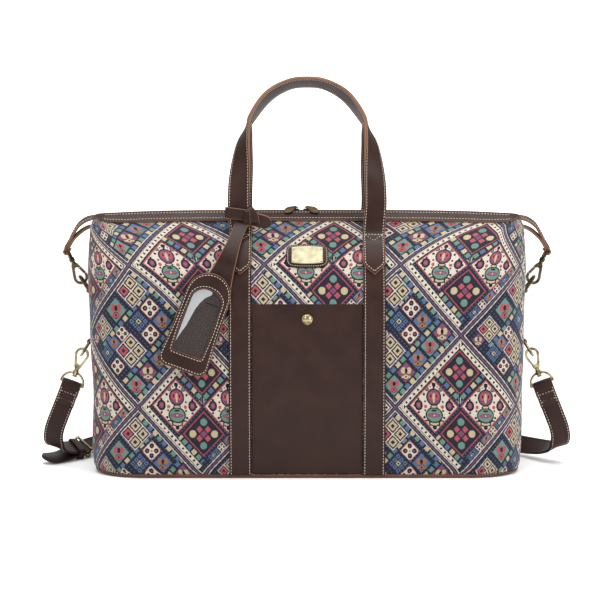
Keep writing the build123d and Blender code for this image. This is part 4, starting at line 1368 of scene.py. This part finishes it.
rows = []
for name, path, side in (("shoulder_strap_long", LONG, 1), ("shoulder_strap_short", SHORT, -1)):
    frames = facing_front(strap_path(path, side))
    strap = strap_mesh(
        name + "_leather", frames, STRAP_WIDTH, STRAP_THICK,
        [leather, dark_edge], round_end=name.endswith("long"),
    )
    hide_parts(name)
    inset = STRAP_WIDTH / 2 - STITCH_INSET
    for place in (-inset, inset):
        rows.append(strap_row(frames, place, STRAP_THICK / 2 + 0.0001, 4, -2))
    head, out = Vector((-0.342 * side, 0, 0.94)), Vector((0.94 * side, 0, 0.342))
    bar = Vector((0.2788 * side, 0, 0.0966))
    profile = [(-0.0270, -0.0040), (-0.0180, -0.0040), (-0.0085, -0.0038), (-0.0020, -0.0032)]
    profile += [(0.0029 * math.sin(a), -0.0029 * math.cos(a)) for a in np.linspace(0.1, 3.0, 7)]
    profile += [(-0.0040, 0.0027), (-0.0100, 0.0020), (-0.0150, 0.0012)]
    round_bar = [(bar + head * h + Vector((0, y, 0)), out) for h, y in profile]
    fold_frames = facing_front(smooth_path(round_bar, 0.0015))
    strap_mesh(name + "_fold", fold_frames, STRAP_WIDTH, FOLD_THICK, [leather, raw_edge])
    for place in (-inset, inset):
        rows.append(strap_row(fold_frames, place, FOLD_THICK / 2 + 0.0001, 1, 14))
    for drop in (-0.0115, -0.0205):
        start = bar + head * drop + Vector((0, -0.0049, 0))
        points = [start + out * x for x in np.linspace(-inset, inset, 8)]
        rows.append((points, [Vector((0, -1, 0))] * 8))
stitch_piece("shoulder_strap_stitches", rows)

centre = Vector((-0.280, 0.0405, 0.0116))
long_way = Vector((-0.55, 0.65, 0.5)).normalized()
depth_way = Vector((0.56, 0.82, 0.05))
depth_way = (depth_way - long_way * depth_way.dot(long_way)).normalized()
thick_way = depth_way.cross(long_way).normalized()
half_long, half_deep = 0.0136, 0.0061
RING_TURNS = [2 * math.pi * (k + 0.25) / 32 for k in range(33)]
ring = []
for u, v in rounded_square(RING_TURNS, 0.35):
    ring.append((centre + long_way * (u * half_long) + thick_way * (v * half_deep), depth_way))
keeper = strap_mesh("strap_keeper_leather", smooth_path(ring, 0.002), 0.009, 0.0017, [leather, dark_edge])
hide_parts("strap_keeper")

# ---------------------------------------------------------------------------------------------
# Luggage tag: an arched leather case round a clear window with a leather card behind it and, under
# the pane, a pale grey sheet of painted reflection, hung on a strap that knots round the left root
# of the front handle.
# ---------------------------------------------------------------------------------------------
lean = math.radians(20.4)
tag_origin = Vector((-0.1018, -0.0995, 0.2312))
tag_right = Vector((math.cos(lean), 0, -math.sin(lean)))
tag_up = Vector((math.sin(lean) * 0.993, 0.105, math.cos(lean) * 0.993)).normalized()
tag_up = (tag_up - tag_right * tag_up.dot(tag_right)).normalized()
tag_out = tag_right.cross(tag_up)
TAG_HALF = 0.025
TAG_HEART = (0.0, -0.062)


def on_tag(u, v, n):
    """Point on the tag: u to its right, v up from its top, n out of its back."""
    return tag_origin + tag_right * u + tag_up * v + tag_out * n


def reach(outline, angle):
    """Distance from the tag's heart to a closed outline in one direction."""
    dx, dy = math.cos(angle), math.sin(angle)
    best = 0.0
    for (x0, y0), (x1, y1) in zip(outline, outline[1:] + outline[:1]):
        x0, x1, y0, y1 = x0 - TAG_HEART[0], x1 - TAG_HEART[0], y0 - TAG_HEART[1], y1 - TAG_HEART[1]
        ex, ey = x1 - x0, y1 - y0
        cross = dx * ey - dy * ex
        if abs(cross) < 1e-12:
            continue
        far = (x0 * ey - y0 * ex) / cross
        share = (x0 * dy - y0 * dx) / cross
        if far > 0 and -1e-9 <= share <= 1 + 1e-9:
            best = max(best, far)
    return best


def arc(cx, cy, radius, start, end, count):
    """Points on an arc between two angles in degrees."""
    turns = np.linspace(math.radians(start), math.radians(end), count)
    return [(cx + radius * math.cos(a), cy + radius * math.sin(a)) for a in turns]


case_outline = arc(0, -TAG_HALF, TAG_HALF, 0, 180, 24) + arc(-0.0188, -0.105, 0.009, 183, 270, 10)
case_outline += arc(0.0188, -0.105, 0.009, 270, 357, 10)
WINDOW_HALF, WINDOW_ARCH, WINDOW_SPRING = 0.018, 0.0144, -0.033
window_outline = [(WINDOW_HALF, WINDOW_SPRING)]
for a in np.linspace(0.05, math.pi - 0.05, 20):
    window_outline.append((WINDOW_HALF * math.cos(a), WINDOW_SPRING + WINDOW_ARCH * math.sin(a)))
window_outline.append((-WINDOW_HALF, WINDOW_SPRING))
window_outline += arc(-0.0145, -0.0915, 0.0035, 180, 270, 6) + arc(0.0145, -0.0915, 0.0035, 270, 360, 6)
angles = [2 * math.pi * k / 144 for k in range(144)]
case_reach = [reach(case_outline, a) for a in angles]
window_reach = [reach(window_outline, a) for a in angles]


def window_ring(share, n):
    """Ring on the tag at a share of the way from its heart to the window's edge."""
    return [
        on_tag(TAG_HEART[0] + near * share * math.cos(a), TAG_HEART[1] + near * share * math.sin(a), n)
        for a, near in zip(angles, window_reach)
    ]


def tag_ring(grow, n, inner=False, share=None):
    """Ring on the tag, grown from the case or the window, or a share of the way between them."""
    points = []
    for a, far, near in zip(angles, case_reach, window_reach):
        away = near + grow if inner else far + grow
        if share is not None:
            away = far + (near - far) * share
        points.append(on_tag(TAG_HEART[0] + away * math.cos(a), TAG_HEART[1] + away * math.sin(a), n))
    return points


rings = [
    tag_ring(-0.02, 0.0002), tag_ring(-0.0006, 0.0), tag_ring(0.0, 0.0006), tag_ring(0.0, 0.0042),
    tag_ring(-0.0006, 0.0049), tag_ring(-0.0018, 0.0050), tag_ring(0, 0.0049, share=0.3),
    tag_ring(0, 0.0052, share=0.6), tag_ring(0.0020, 0.0050, True), tag_ring(0.0005, 0.0049, True),
    tag_ring(0.0, 0.0044, True), tag_ring(0.0, 0.0024, True),
]
case = stacked_loops("tag_case_leather", rings, [leather, raw_edge])
# its cut edges: the outer wall and the rim of the window
for face in case.data.polygons:
    if face.index // len(angles) in (1, 2, 3, 9):
        face.material_index = 1
card_mat, card_shader = plain_material("card_leather", linear(56, 36, 32), 0.55)
d = Draft(card_mat.node_tree)
tone = d.put("ShaderNodeTexNoise", d.object_place(), None, 45.0).outputs["Fac"]
shades = d.paint(linear(32, 20, 18), linear(46, 30, 27), tone)
card_mat.node_tree.links.new(shades, card_shader.inputs["Base Color"])
# levels out from the tag's back: card, slit shade, the pale sheet of painted reflection, and pane
CARD_LEVEL, SLIT_LEVEL, GLARE_LEVEL, PANE_LEVEL = 0.0024, 0.0029, 0.0030, 0.0036
backing = stacked_loops(
    "tag_card_leather",
    [tag_ring(0.001, CARD_LEVEL, True), window_ring(0.7, CARD_LEVEL), window_ring(0.3, CARD_LEVEL)],
    [card_mat], cap=True,
)
glass, glass_shader = plain_material("clear_window", (0.1, 0.1, 0.1, 1.0), 0.3)
glass_shader.inputs["Alpha"].default_value = 0.03
pane = stacked_loops(
    "tag_window_pane",
    [tag_ring(0.0008, PANE_LEVEL, True), window_ring(0.6, PANE_LEVEL), window_ring(0.2, PANE_LEVEL)],
    [glass], cap=True,
)
for piece, name, slot_name in (
    (case, "tag_case", "brown_leather"),
    (backing, "tag_card", "brown_leather"),
    (pane, "tag_window", "clear_window"),
):
    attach(piece, "tag")
    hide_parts(name)
# Painted reflection: a pale grey sheet just behind the clear pane stands in for the glare on the window.
glare_sheet_mat, _ = plain_material("painted_window_glare", linear(166, 168, 170), 0.6)
bm = bmesh.new()
edges = []
# height on the tag and place of the painted reflection's ragged right edge there
GLARE_EDGE = [
    (-0.0196, 0.0010), (-0.0208, 0.0036), (-0.0235, 0.0034), (-0.0290, -0.0022), (-0.0360, -0.0058),
    (-0.0450, -0.0086), (-0.0550, -0.0100), (-0.0640, -0.0112), (-0.0730, -0.0138), (-0.0810, -0.0158),
    (-0.0850, -0.0166),
]
for v, right in GLARE_EDGE:
    above = max(0.0, v - WINDOW_SPRING) / WINDOW_ARCH
    left = 0.0012 - WINDOW_HALF * math.sqrt(1 - above ** 2)
    left = min(left, 0.0)
    ends = (left, max(right, left + 0.0002))
    edges.append([bm.verts.new(on_tag(u, v, GLARE_LEVEL)) for u in ends])
for (a, b), (c, e) in zip(edges, edges[1:]):
    bm.faces.new((a, c, e, b))
glare_sheet = link_mesh("tag_window_glare", bm, [glare_sheet_mat], smooth=False)
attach(glare_sheet, "tag")
bm = bmesh.new()
corners = [(0.0004, -0.0330), (0.0176, -0.0330), (0.0176, -0.0345), (0.0004, -0.0345)]
slit_mat, _ = plain_material("slit_shadow", linear(12, 9, 9), 0.9)
bm.faces.new([bm.verts.new(on_tag(u, v, SLIT_LEVEL)) for u, v in reversed(corners)])
slit = link_mesh("tag_card_slit", bm, [slit_mat], smooth=False)
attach(slit, "tag")
rows = []
for points in (tag_ring(-0.0026, 0.0051), tag_ring(0.0026, 0.0052, True)):
    rows.append((points + points[:1], [tag_out] * (len(points) + 1)))
stitch_piece("tag_stitches", rows, body="tag")

hanger = [
    ((-0.0740, -0.0645, 0.2870), (1, 0, 0)), ((-0.0775, -0.0735, 0.2800), (0.97, 0, -0.20)),
    ((-0.0840, -0.0905, 0.2620), (0.94, 0, -0.34)), ((-0.0895, -0.0988, 0.2470), (0.93, 0, -0.36)),
    ((-0.0950, -0.0985, 0.2330), (0.93, 0, -0.36)), ((-0.1000, -0.0985, 0.2200), (0.93, 0, -0.36)),
]
hanger_frames = smooth_path(hanger, 0.003)
strap = strap_mesh(
    "tag_strap_leather", hanger_frames, 0.015, 0.0022, [leather, raw_edge], body="tag",
    shape=lambda f: 1 + 1.1 * max(0.0, (f - 0.3) / 0.7) ** 1.5,
)
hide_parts("tag_strap")

ring = []
for u, v in rounded_square(RING_TURNS, 0.5):
    ring.append(((-0.0776 + u * 0.0154, -0.0566 + v * 0.0052, 0.2978 - u * 0.002), (0.06, 0, 1)))
knot = strap_mesh("tag_knot_band", smooth_path(ring, 0.003), 0.0128, 0.0021, [leather, raw_edge])
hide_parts("tag_knot")
loose_frames = smooth_path(
    [((-0.072, -0.0645, 0.2945), (0.05, 0, 1)), ((-0.062, -0.0660, 0.2925), (0.08, -0.1, 1)),
     ((-0.052, -0.0670, 0.2900), (0.12, -0.2, 1)), ((-0.041, -0.0672, 0.2872), (0.16, -0.3, 1))], 0.002
)
strap_mesh("tag_knot_end", loose_frames, 0.0155, 0.0021, [leather, raw_edge], round_end=True)

fold = [
    ((-0.0668, -0.0628, 0.3055), (1, 0, 0.45)), ((-0.0642, -0.0674, 0.3042), (1, 0, 0.35)),
    ((-0.0614, -0.0699, 0.2992), (1, 0, 0.2)), ((-0.0600, -0.0704, 0.2935), (1, 0, 0.1)),
    ((-0.0594, -0.0692, 0.2888), (1, 0, 0)), ((-0.0594, -0.0655, 0.2862), (1, 0, 0)),
]
strap_mesh(
    "tag_knot_fold", smooth_path(fold, 0.0015), 0.0105, 0.0019, [leather, raw_edge],
    shape=lambda f: 0.35 + 0.65 * min(1.0, f / 0.6),
)
